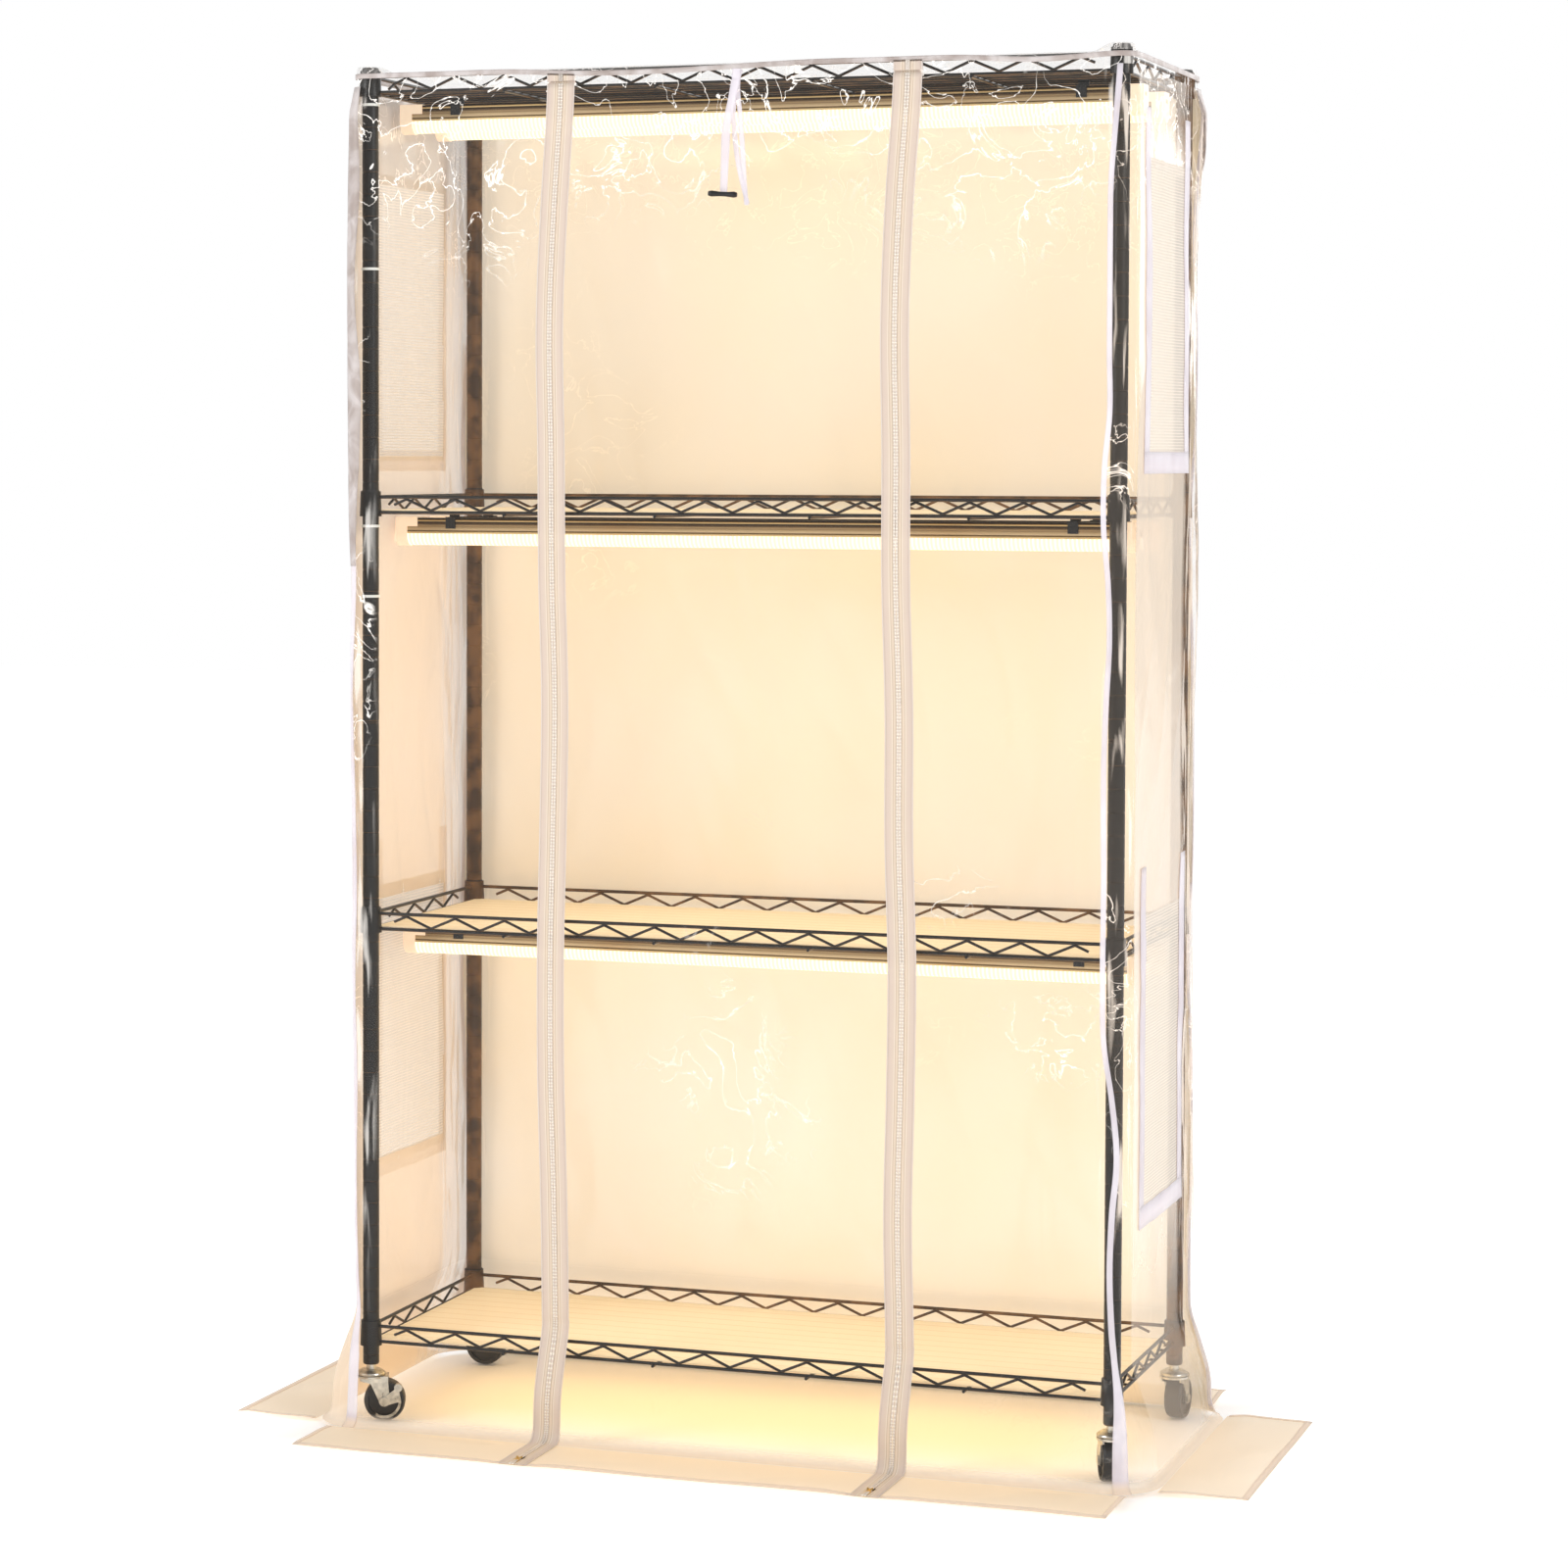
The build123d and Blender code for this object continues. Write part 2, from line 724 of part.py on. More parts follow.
def make_roof():
    """Ruled over stations from front to back: high over the posts, slack between them."""
    lap = collar_od / 2 + collar_margin
    high = post_cap_top + roof_seat + roof_film
    x_stations = [cover_x + film, post_x + lap, post_x - lap, post_x - roof_sag_start]
    y_stations = [cover_y + film, post_y + lap, post_y - lap, post_y - roof_sag_start]
    xs = [-x for x in x_stations] + x_stations[::-1]
    ys = [-y for y in y_stations] + y_stations[::-1]

    def height(x, y):
        column, row = x_stations.index(abs(x)), y_stations.index(abs(y))
        swell = roof_swell if column in (1, 2) else 0
        if column == 0:
            return roof_edge
        if row == 0:
            return roof_edge + swell
        if swell and row in (1, 2):
            return high
        return roof_middle + swell

    with BuildPart() as roof:
        for y in ys:
            top = [(x, height(x, y)) for x in xs]
            under = [(x, height(x, y) - roof_film) for x in xs[::-1]]
            with BuildSketch(Plane.XZ.offset(-y)):
                with BuildLine():
                    Polyline(*top, *under, close=True)
                make_face()
        loft(ruled=True)
        with BuildSketch(Plane.XY.offset(wall_top)):
            Rectangle(2 * (cover_x + film), 2 * (cover_y + film))
            Rectangle(2 * cover_x, 2 * cover_y, mode=Mode.SUBTRACT)
        extrude(amount=roof_edge - roof_film - wall_top)
    return roof.part


def skirt_plane(outward, start):
    """A plane across a skirt: local x runs outward from the wall, local y is height."""
    return Plane(origin=start, x_dir=outward, z_dir=Vector(*outward).cross(up))


def drape_points(lift):
    """Corners of the skirt's line, `lift` outward of the wall's inner face and off the floor.
    It leans out past the casters' swivel circle, drops to the floor and lies out on it."""
    corners = [(0, skirt_top), (0, flare_foot + flare_height), (flare_reach, flare_foot)]
    corners += [(flare_reach + flare_lean, 0), (skirt_reach, 0)]
    normals = []
    for (x1, z1), (x2, z2) in zip(corners, corners[1:]):
        run = hypot(x2 - x1, z2 - z1)
        normals.append(((z1 - z2) / run, (x2 - x1) / run))
    before, after = [normals[0]] + normals, normals + [normals[-1]]
    points = []
    for (x, z), (ax, az), (bx, bz) in zip(corners, before, after):
        share = lift / (1 + ax * bx + az * bz)
        points.append((x + share * (ax + bx), z + share * (az + bz)))
    return points


def drape_radii(lift):
    return [flare_bend_r - lift, knee_bend_r + lift, floor_bend_r - lift]


def drape_profile(inner, thickness, floor_run=True):
    """A strip that follows the skirt's line, lying `inner` outward of the wall's inner face."""
    lines = []
    for lift in (inner, inner + thickness):
        points = drape_points(lift)
        if not floor_run:
            points[-1] = (flare_reach + flare_lean + floor_bend_r + film, points[-1][1])
        lines.append((points, drape_radii(lift)))
    with BuildSketch() as profile:
        with BuildLine():
            near = FilletPolyline(*lines[0][0], radius=lines[0][1])
            far = FilletPolyline(*lines[1][0], radius=lines[1][1])
            Line(near @ 0, far @ 0)
            Line(near @ 1, far @ 1)
        make_face()
    return profile.sketch


def bent_strip(outward, start, length, inner, thickness):
    """A strip on the skirt's line along one side of the cover."""
    with BuildPart() as strip:
        with BuildSketch(skirt_plane(outward, start)):
            add(drape_profile(inner, thickness))
        extrude(amount=length)
    return strip.part


def front_skirt(x_from, x_to):
    return bent_strip((0, -1, 0), (x_to, -cover_y, 0), x_to - x_from, 0, film)


def make_whole_skirt():
    """The flare goes round the corners; the flaps on the floor are open between them."""
    flap_start = flare_reach + flare_lean + floor_bend_r
    flap_run = skirt_reach - flap_start
    door_left, door_right = zip_foot["left"] - zip_gap / 2, zip_foot["right"] + zip_gap / 2
    with BuildPart() as skirt:
        with BuildLine() as round_walls:
            Polyline(
                (0, -cover_y),
                (cover_x, -cover_y),
                (cover_x, cover_y),
                (-cover_x, cover_y),
                (-cover_x, -cover_y),
                close=True,
            )
        with BuildSketch(skirt_plane((0, -1, 0), (0, -cover_y, 0))):
            add(drape_profile(0, film, floor_run=False))
        sweep(path=round_walls.line, transition=Transition.RIGHT)
        with BuildSketch(Plane.XY):
            for side in (-1, 1):
                with Locations((side * (cover_x + flap_start + flap_run / 2), 0)):
                    Rectangle(flap_run, 2 * (cover_y + skirt_side_lap))
                with Locations((0, side * (cover_y + flap_start + flap_run / 2))):
                    Rectangle(2 * (cover_x + skirt_side_lap), flap_run)
        extrude(amount=film)
        with BuildSketch(Plane.XY):
            with Locations(((door_left + door_right) / 2, -cover_y - skirt_reach / 2)):
                Rectangle(door_right - door_left, skirt_reach + overrun)
        extrude(amount=skirt_top, mode=Mode.SUBTRACT)
    return skirt.part


def make_skirt_side(whole, corner, next_corner):
    """One side of the skirt, cut from the whole along the mitres at two of its corners."""
    (x1, y1), (x2, y2) = corner, next_corner
    grow = 1 + 2 * skirt_reach / cover_y
    out = grow * skirt_reach
    far = [(x + copysign(out, x), y + copysign(out, y)) for x, y in (corner, next_corner)]
    with BuildPart() as side:
        add(whole)
        with BuildSketch():
            with BuildLine():
                Polyline((x1, y1), (x2, y2), far[1], far[0], close=True)
            make_face()
        extrude(amount=skirt_top, mode=Mode.INTERSECT)
    return side.part


def zip_line(x_middle, shares):
    """The zip's centre line on the wall, from the skirt up to the top of the door."""
    height = door_top - skirt_top
    return [(x_middle + zip_wave * wave, skirt_top + height * share) for share, wave in shares]


def shifted(points, dx):
    return [(x + dx, z) for x, z in points]


zip_lines = {
    "left": zip_line(zip_x_left, zip_left_shares),
    "right": zip_line(zip_x_right, zip_right_shares),
}
zip_foot = {side: line[0][0] for side, line in zip_lines.items()}
outside = {"left": -1, "right": 1}


def front_panel(left_edge, right_edge, depth, thickness):
    """A flat piece in the front wall between two edge lines that run upwards."""
    with BuildPart() as panel:
        with BuildSketch(Plane.XZ.offset(cover_y + depth)):
            with BuildLine():
                left = Spline(*left_edge) if len(left_edge) > 2 else Line(*left_edge)
                right = Spline(*right_edge) if len(right_edge) > 2 else Line(*right_edge)
                Line(left @ 0, right @ 0)
                Line(left @ 1, right @ 1)
            make_face()
        extrude(amount=thickness)
    return panel.part


def make_front_strip(side):
    way = outside[side]
    corner = [(way * cover_x, skirt_top), (way * cover_x, door_top)]
    by_zip = shifted(zip_lines[side], way * zip_gap / 2)
    edges = (corner, by_zip) if way < 0 else (by_zip, corner)
    with BuildPart() as strip:
        add(front_panel(*edges, 0, film))
        start, end = sorted((by_zip[-1][0], way * cover_x))
        with BuildSketch(Plane.XZ.offset(cover_y)):
            with Locations(((start + end) / 2, (door_top + wall_top) / 2)):
                Rectangle(end - start, wall_top - door_top)
        extrude(amount=film)
    return strip.part


def make_door():
    left = shifted(zip_lines["left"], zip_gap / 2)
    right = shifted(zip_lines["right"], -zip_gap / 2)
    return front_panel(left, right, 0, film)


def make_zip_tape(side, on_door):
    """One half of a zip: tape with a coil ridge, down the wall, round the bend, to the hem."""
    way = outside[side] * (-1 if on_door else 1)
    line = zip_lines[side]
    foot = zip_foot[side]
    with BuildPart() as tape:
        for width, rise in ((zip_half_w, tape_thickness), (coil_w, tape_thickness + coil_rise)):
            inner_edge = shifted(line, way * zip_gap / 2)
            outer_edge = shifted(line, way * width)
            edges = (outer_edge, inner_edge) if way < 0 else (inner_edge, outer_edge)
            add(front_panel(*edges, film, rise))
            ends = sorted((foot + way * zip_gap / 2, foot + way * width))
            add(bent_strip((0, -1, 0), (ends[1], -cover_y, 0), ends[1] - ends[0], film, rise))
    return tape.part


def make_wall_with_windows(side):
    """A side wall with two window openings, the mesh lapped behind them by the tape."""
    opening_h = window_h - window_tape - window_pelmet
    plane = Plane.YZ.offset(side * cover_x)
    with BuildPart() as wall:
        with BuildSketch(plane):
            with Locations((0, (skirt_top + wall_top) / 2)):
                Rectangle(2 * cover_y, wall_top - skirt_top)
            for bottom in window_bottoms:
                with Locations((0, bottom + window_tape + opening_h / 2)):
                    Rectangle(window_w - 2 * window_tape, opening_h, mode=Mode.SUBTRACT)
        extrude(amount=side * film)
    return wall.part


def make_window_mesh(side, bottom):
    opening_h = window_h - window_tape - window_pelmet
    with BuildPart() as mesh:
        with BuildSketch(Plane.YZ.offset(side * (cover_x - film))):
            with Locations((0, bottom + window_tape + opening_h / 2)):
                Rectangle(window_w - 2 * window_tape + 2 * mesh_lap, opening_h + 2 * mesh_lap)
        extrude(amount=side * film)
    return mesh.part


def make_window_tape(side, bottom):
    opening_w = window_w - 2 * window_tape
    with BuildPart() as tape:
        with BuildSketch(Plane.YZ.offset(side * (cover_x + film))):
            with Locations((0, bottom + window_h / 2)):
                Rectangle(window_w, window_h)
            with Locations((0, bottom + window_tape + window_h / 2)):
                Rectangle(opening_w, window_h, mode=Mode.SUBTRACT)
        extrude(amount=side * tape_thickness)
    return tape.part


def make_back():
    with BuildPart() as back:
        with BuildSketch(Plane.XZ.offset(-cover_y)):
            with Locations((0, (skirt_top + wall_top) / 2)):
                Rectangle(2 * cover_x, wall_top - skirt_top)
        extrude(amount=-film)
    return back.part


def make_top_binding():
    """White tape sewn round the valance."""
    with BuildPart() as band:
        with BuildSketch(Plane.XY.offset(wall_top)):
            Rectangle(2 * (cover_x + film + tape_thickness), 2 * (cover_y + film + tape_thickness))
            Rectangle(2 * (cover_x + film), 2 * (cover_y + film), mode=Mode.SUBTRACT)
        extrude(amount=binding_w)
    return band.part


def make_corner_binding(x_way, y_way):
    """White tape folded round an upright corner seam."""
    wall_h = wall_top - skirt_top
    out = tape_thickness + film - binding_w / 2
    with BuildPart() as strip:
        with BuildSketch(Plane.XY.offset(skirt_top)):
            with Locations((x_way * (cover_x + out), y_way * (cover_y + out))):
                Rectangle(binding_w, binding_w)
            Rectangle(2 * (cover_x + film), 2 * (cover_y + film), mode=Mode.SUBTRACT)
        extrude(amount=wall_h)
    return strip.part


def make_hem(outward, start, length):
    """White tape on a skirt's outer edge."""
    plane = skirt_plane(outward, start)
    with BuildPart() as hem:
        with BuildSketch(plane):
            with Locations((skirt_reach - hem_w / 2, film + tape_thickness / 2)):
                Rectangle(hem_w, tape_thickness)
        extrude(amount=length)
    return hem.part


whole_skirt = make_whole_skirt()
skirt_corners = {
    "front": ((-cover_x, -cover_y), (cover_x, -cover_y)),
    "right": ((cover_x, -cover_y), (cover_x, cover_y)),
    "rear": ((cover_x, cover_y), (-cover_x, cover_y)),
    "left": ((-cover_x, cover_y), (-cover_x, -cover_y)),
}
for side, corners in skirt_corners.items():
    save(make_skirt_side(whole_skirt, *corners), f"skirt_{side}")
save(front_skirt(zip_foot["left"] + zip_gap / 2, zip_foot["right"] - zip_gap / 2), "door_skirt")
save(make_roof(), "cover_roof")
save(make_back(), "cover_back")
save(make_wall_with_windows(-1), "cover_left")
save(make_wall_with_windows(1), "cover_right")
save(make_front_strip("left"), "cover_front_left")
save(make_front_strip("right"), "cover_front_right")
save(make_door(), "door_panel")
save(group(make_zip_tape(side, False) for side in outside), "zip_tapes_cover")
save(group(make_zip_tape(side, True) for side in outside), "zip_tapes_door")
windows = [(side, bottom) for side in (-1, 1) for bottom in window_bottoms]
save(group(make_window_mesh(side, bottom) for side, bottom in windows), "window_meshes")

bindings = [make_top_binding()]
bindings += [make_window_tape(side, bottom) for side, bottom in windows]
bindings += [make_corner_binding(x_way, y_way) for x_way in (-1, 1) for y_way in (-1, 1)]
hem_half_x, hem_half_y = cover_x + skirt_side_lap, cover_y + skirt_side_lap
bindings += [
    make_hem((-1, 0, 0), (-cover_x, -hem_half_y, 0), 2 * hem_half_y),
    make_hem((1, 0, 0), (cover_x, hem_half_y, 0), 2 * hem_half_y),
    make_hem((0, 1, 0), (-hem_half_x, cover_y, 0), 2 * hem_half_x),
]
zip_reach = zip_half_w + zip_gap
left_hem = (-hem_half_x, zip_foot["left"] - zip_reach)
right_hem = (zip_foot["right"] + zip_reach, hem_half_x)
for start, end in (left_hem, right_hem):
    bindings.append(make_hem((0, -1, 0), (end, -cover_y, 0), end - start))
save(group(bindings), "cover_binding")
door_hem_left = zip_foot["left"] + zip_reach
door_hem_right = zip_foot["right"] - zip_reach
door_hem_w = door_hem_right - door_hem_left
save(make_hem((0, -1, 0), (door_hem_right, -cover_y, 0), door_hem_w), "door_binding")

# Zip sliders at the hem, where the zips are closed: a plate over the two coils with a pair of
# ears, and a pull tab on a pin between the ears, its tip on the floor in front of the hem.
slider_w = 9.0
slider_length = 13.0
slider_plate = 1.6
slider_edge = 2.0
slider_setback = 22.0
ear_gap = 4.0
ear_w = 1.2
ear_r = 2.0
pin_r = 0.8
tab_w = 7.0
tab_length = 24.0
tab_thickness = 1.2
tab_neck = 3.0

plate_z = film + tape_thickness + coil_rise + seat_gap
pivot_z = plate_z + slider_plate + ear_r / 2
slider_front = -(cover_y + skirt_reach - slider_setback)
pivot_y = slider_front + ear_r + slider_edge / 2
tab_drop = asin((pivot_z - plate_z - tab_thickness / 2) / tab_length)


def make_slider():
    with BuildPart() as slider:
        with BuildSketch(Plane.XY.offset(plate_z)):
            with Locations((0, slider_front + slider_length / 2)):
                RectangleRounded(slider_w, slider_length, slider_edge)
        extrude(amount=slider_plate)
        for side in (-1, 1):
            with BuildSketch(Plane.YZ.offset(side * (ear_gap + ear_w) / 2)):
                with Locations((pivot_y, pivot_z)):
                    Circle(ear_r)
                with Locations((pivot_y, (pivot_z + plate_z + slider_plate / 2) / 2)):
                    Rectangle(2 * ear_r, pivot_z - plate_z - slider_plate / 2)
            extrude(amount=ear_w / 2, both=True)
        with BuildSketch(Plane.YZ):
            with Locations((pivot_y, pivot_z)):
                Circle(pin_r + running_clearance)
        extrude(amount=ear_gap, both=True, mode=Mode.SUBTRACT)
        with BuildSketch(Plane.XY.offset(plate_z - seat_gap)):
            with Locations((0, pivot_y)):
                Rectangle(ear_gap - 2 * running_clearance, 2 * ear_r + slider_edge)
        extrude(amount=pivot_z, mode=Mode.SUBTRACT)
    return slider.part


def make_pull():
    tilted = Plane(
        origin=(0, pivot_y, pivot_z), x_dir=(1, 0, 0), z_dir=(0, -sin(tab_drop), cos(tab_drop))
    )
    with BuildPart() as pull:
        with BuildSketch(tilted.offset(-tab_thickness / 2)):
            with Locations((0, -(tab_neck + tab_length) / 2 - ear_r / 2)):
                RectangleRounded(tab_w, tab_length - tab_neck - ear_r, tab_w / 3)
            with Locations((0, -tab_neck / 2 - ear_r / 2)):
                Rectangle(ear_gap - 4 * running_clearance, tab_neck + ear_r)
        extrude(amount=tab_thickness)
        with BuildSketch(Plane.YZ):
            with Locations((pivot_y, pivot_z)):
                Circle(pin_r)
        extrude(amount=ear_gap / 2 + ear_w, both=True)
    return pull.part


slider, pull = make_slider(), make_pull()
for side, foot in zip_foot.items():
    save(slider.moved(Location((foot, 0, 0))), f"zip_slider_{side}")
    save(pull.moved(Location((foot, 0, 0))), f"zip_pull_{side}")

# Tie for the rolled-up door: a ribbon with a toggle hanging outside from the top seam, and
# a ribbon loop inside.
ribbon_w = 10.0
ribbon_thickness = 0.8
ribbon_top = (8.0, 1541.5)
ribbon_foot = (-6.0, 1411.0)
toggle_length = 33.0
toggle_r = 3.4
toggle_waist = 2.6
toggle_tilt = -4.0
loop_w = 7.0
loop_top = (10.0, 1556.0)
loop_foot = (21.0, 1396.0)
loop_slit = 2.0


def ribbon(depth, top, foot, width):
    """A ribbon across the front, its back `depth` in front of the rack's middle."""
    with BuildPart() as piece:
        with BuildSketch(Plane.XZ.offset(depth)):
            with BuildLine():
                Polyline(
                    (top[0] - width / 2, top[1]),
                    (top[0] + width / 2, top[1]),
                    (foot[0] + width / 2, foot[1]),
                    (foot[0] - width / 2, foot[1]),
                    close=True,
                )
            make_face()
        extrude(amount=ribbon_thickness)
    return piece.part


def make_toggle():
    """A turned bar with thicker ends, on the ribbon's face near its lower end."""
    y = -(cover_y + film + seat_gap + ribbon_thickness + toggle_r)
    tilt = radians(toggle_tilt)
    along = (cos(tilt), 0, sin(tilt))
    half = toggle_length / 2
    centre = (ribbon_foot[0], y, ribbon_foot[1] + toggle_r)
    plane = Plane(origin=centre, x_dir=along, z_dir=(0, -1, 0))
    with BuildPart() as toggle:
        with BuildSketch(plane):
            with BuildLine():
                Polyline(
                    (-half, 0),
                    (-half, toggle_waist),
                    (-half + toggle_r, toggle_r),
                    (-toggle_r, toggle_waist),
                    (toggle_r, toggle_waist),
                    (half - toggle_r, toggle_r),
                    (half, toggle_waist),
                    (half, 0),
                    close=True,
                )
            make_face()
        revolve(axis=Axis(plane.origin, along))
    return toggle.part


def make_tie_loop():
    depth = cover_y - ribbon_thickness
    slit_top = (loop_top[0], loop_top[1] - loop_w)
    slit_foot = (loop_foot[0], loop_foot[1] + loop_w)
    with BuildPart() as loop:
        add(ribbon(depth, loop_top, loop_foot, 2 * loop_w + loop_slit))
        add(ribbon(depth, slit_top, slit_foot, loop_slit), mode=Mode.SUBTRACT)
    return loop.part


save(ribbon(cover_y + film + seat_gap, ribbon_top, ribbon_foot, ribbon_w), "tie_strap")
save(make_toggle(), "tie_toggle")
save(make_tie_loop(), "tie_loop")
print("door axis", -(cover_y + film), door_top)
print("tab drop", degrees(tab_drop), "pivot", pivot_y, pivot_z)
print("shelf heights", shelf_z)
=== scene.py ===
import math

import bpy
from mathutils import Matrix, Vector, noise


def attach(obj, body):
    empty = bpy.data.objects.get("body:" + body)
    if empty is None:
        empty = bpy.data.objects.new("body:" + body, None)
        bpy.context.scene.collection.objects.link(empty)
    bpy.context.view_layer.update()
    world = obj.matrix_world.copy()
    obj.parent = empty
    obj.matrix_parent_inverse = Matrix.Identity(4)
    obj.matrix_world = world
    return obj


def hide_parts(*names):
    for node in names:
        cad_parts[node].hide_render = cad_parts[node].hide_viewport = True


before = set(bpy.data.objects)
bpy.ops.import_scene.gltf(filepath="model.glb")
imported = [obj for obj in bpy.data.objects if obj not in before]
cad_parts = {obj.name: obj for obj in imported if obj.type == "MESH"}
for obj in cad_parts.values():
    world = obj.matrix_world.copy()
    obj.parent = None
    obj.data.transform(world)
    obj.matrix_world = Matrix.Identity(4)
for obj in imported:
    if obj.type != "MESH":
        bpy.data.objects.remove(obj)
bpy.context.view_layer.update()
bpy.ops.object.select_all(action="DESELECT")

# Studio: the camera stands where the photograph was taken from, in front of the stand's right
# half and a little over one metre up. White floor, white surroundings and two softboxes.
bpy.ops.object.camera_add(
    location=(1.441, -4.535, 1.122), rotation=(math.radians(87.51), 0, math.radians(19.82))
)
camera = bpy.context.object
camera.name = "camera"
camera.rotation_euler.rotate_axis("Z", math.radians(0.12))
camera.data.sensor_width = 36
camera.data.lens = 94.39
camera.data.shift_x = 0.1056
camera.data.shift_y = -0.0944
bpy.context.scene.camera = camera
bpy.context.scene.view_settings.view_transform = "Standard"


def linear(hex_colour):
    """An sRGB colour such as "F2E4C8" as linear red, green, blue and alpha."""
    shares = [int(hex_colour[i:i + 2], 16) / 255 for i in (0, 2, 4)]
    return [s / 12.92 if s <= 0.04045 else ((s + 0.055) / 1.055) ** 2.4 for s in shares] + [1]


def new_material(name, **inputs):
    """A material with a Principled surface; keyword names are its sockets, _ for space."""
    material = bpy.data.materials.new(name)
    material.use_nodes = True
    surface = material.node_tree.nodes["Principled BSDF"]
    for socket, value in inputs.items():
        surface.inputs[socket.replace("_", " ")].default_value = value
    return material, surface


def add_node(material, kind, *values, output=0, stops=(), **named):
    """Adds a node and gives one of its outputs. Numbers and other nodes' outputs go to its inputs
    in order or by name, _ for space; a name may be a property too. The stops of a colour ramp are
    positions and sRGB colours."""
    node = material.node_tree.nodes.new("ShaderNode" + kind)
    for name, value in [*enumerate(values), *named.items()]:
        if hasattr(node, str(name)):
            setattr(node, name, value)
            continue
        socket = node.inputs[name.replace("_", " ") if name in named else name]
        if isinstance(value, bpy.types.NodeSocket):
            material.node_tree.links.new(value, socket)
        else:
            socket.default_value = value
    if stops:
        elements = node.color_ramp.elements
        elements[0].position, elements[1].position = stops[0][0], stops[-1][0]
        for position, _ in stops[1:-1]:
            elements.new(position)
        for element, (_, colour) in zip(elements, stops):
            element.color = linear(colour)
    return node.outputs[output]


def plug(source, node, name):
    """Links an output to a named input of a node."""
    node.id_data.links.new(source, node.inputs[name])


# The floor glows round the footprint of the cover, so that its shadow falls only under the stand.
studio_white, surface = new_material(
    "painted_floor_white", Base_Color=linear("F4F2F0"), Roughness=0.8, Emission_Color=linear("FFFFFF")
)
SHADE_X, SHADE_Y = 0.60, 0.32
place = add_node(studio_white, "TexCoord", output="Object")
spot = add_node(studio_white, "Mapping", place, Scale=(1 / SHADE_X, 1 / SHADE_Y, 1))
reaches = []
for axis in ("X", "Y"):
    along = add_node(studio_white, "SeparateXYZ", spot, output=axis)
    reaches.append(add_node(studio_white, "Math", along, operation="ABSOLUTE"))
reach = add_node(studio_white, "Math", *reaches, operation="MAXIMUM")
plug(add_node(studio_white, "MapRange", reach, 0.7, 1.0, 0.05, 0.55), surface, "Emission Strength")
FLOOR_SIZE, FLOOR_DROP = 30, 0.0015
bpy.ops.mesh.primitive_plane_add(size=FLOOR_SIZE, location=(0, 0, -FLOOR_DROP))
floor = bpy.context.object
floor.name = "studio_floor"
floor.data.materials.append(studio_white)

# The surroundings are pure white to look at, and light the stand at about half of that.
world = bpy.data.worlds.new("white_studio")
bpy.context.scene.world = world
world.use_nodes = True
sky = world.node_tree.nodes["Background"]
sky.inputs["Color"].default_value = linear("FFFFFF")
seen = add_node(world, "LightPath", output="Is Camera Ray")
plug(add_node(world, "MapRange", seen, 0.0, 1.0, 0.53, 1.0), sky, "Strength")

for name, place, aim, size, power in (
    ("softbox_left", (-2.8, -2.8, 2.4), (0, 0, 0.8), 1.6, 54),
    ("softbox_right", (2.9, -1.4, 2.4), (0, 0, 0.7), 1.4, 36),
    ("softbox_rear", (0.6, 3.6, 2.2), (0, 0, 0.7), 2.0, 30),
):
    bpy.ops.object.light_add(type="AREA", location=place)
    softbox = bpy.context.object
    softbox.name = name
    softbox.data.size = size
    softbox.data.energy = power
    softbox.rotation_euler = (Vector(aim) - Vector(place)).to_track_quat("-Z", "Y").to_euler()

# Light that the lamps throw down through the liners and the wires on to the floor.
UNDER_RACK = 0.082
bpy.ops.object.light_add(type="AREA", location=(0, 0, UNDER_RACK))
spill = bpy.context.object
spill.name = "lamp_spill"
spill.data.shape = "RECTANGLE"
spill.data.size, spill.data.size_y = 0.84, 0.28
spill.data.energy = 0.50
spill.data.color = linear("FFDA98")[:3]
spill.visible_camera = False


def dress(material, *names):
    """Gives CAD nodes, named in full or by how they start, a better material."""
    for name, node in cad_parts.items():
        if name.startswith(names):
            node.data.materials.clear()
            node.data.materials.append(material)


# Rack: steel tube and wire, welded and then powder coated satin black. The coat has a faint
# orange peel about a millimetre across and its gloss varies a little. Warm lamp light is painted
# into its colour as a brown tint, unevenly, at the back and on the undersides.
powder_coat, surface = new_material(
    "powder_coated_steel", Base_Color=linear("0B0A0A"), Roughness=0.36, Specular_IOR_Level=0.4
)
place = add_node(powder_coat, "TexCoord", output="Object")
peel = add_node(powder_coat, "TexNoise", place, Scale=700.0)
plug(add_node(powder_coat, "Bump", Height=peel, Strength=0.06, Distance=0.0004), surface, "Normal")
cloud = add_node(powder_coat, "TexNoise", place, Scale=38.0, Detail=3.0)
plug(add_node(powder_coat, "MapRange", cloud, 0.0, 1.0, 0.30, 0.46), surface, "Roughness")
# Painted lamp light: the back of the rack and the undersides facing down are drawn warm brown.
depth = add_node(powder_coat, "SeparateXYZ", place, output="Y")
inner = add_node(powder_coat, "MapRange", depth, 0.08, 0.16, 0.0, 0.8)
normal = add_node(powder_coat, "TexCoord", output="Normal")
facing_up = add_node(powder_coat, "SeparateXYZ", normal, output="Z")
under = add_node(powder_coat, "MapRange", facing_up, -0.2, -0.8, 0.0, 0.7)
lamp_lit = add_node(powder_coat, "Math", inner, under, operation="MAXIMUM")
uneven = add_node(powder_coat, "MapRange", cloud, 0.40, 0.62, 0.35, 1.25)
painted_lamp_glow = add_node(powder_coat, "Math", lamp_lit, uneven, operation="MULTIPLY")
tones = add_node(powder_coat, "ValToRGB", painted_lamp_glow, stops=((0.0, "0B0A0A"), (1.0, "7A5836")))
plug(tones, surface, "Base Color")
dress(powder_coat, "posts_", "shelf_bottom", "shelf_lower", "shelf_upper", "shelf_top")

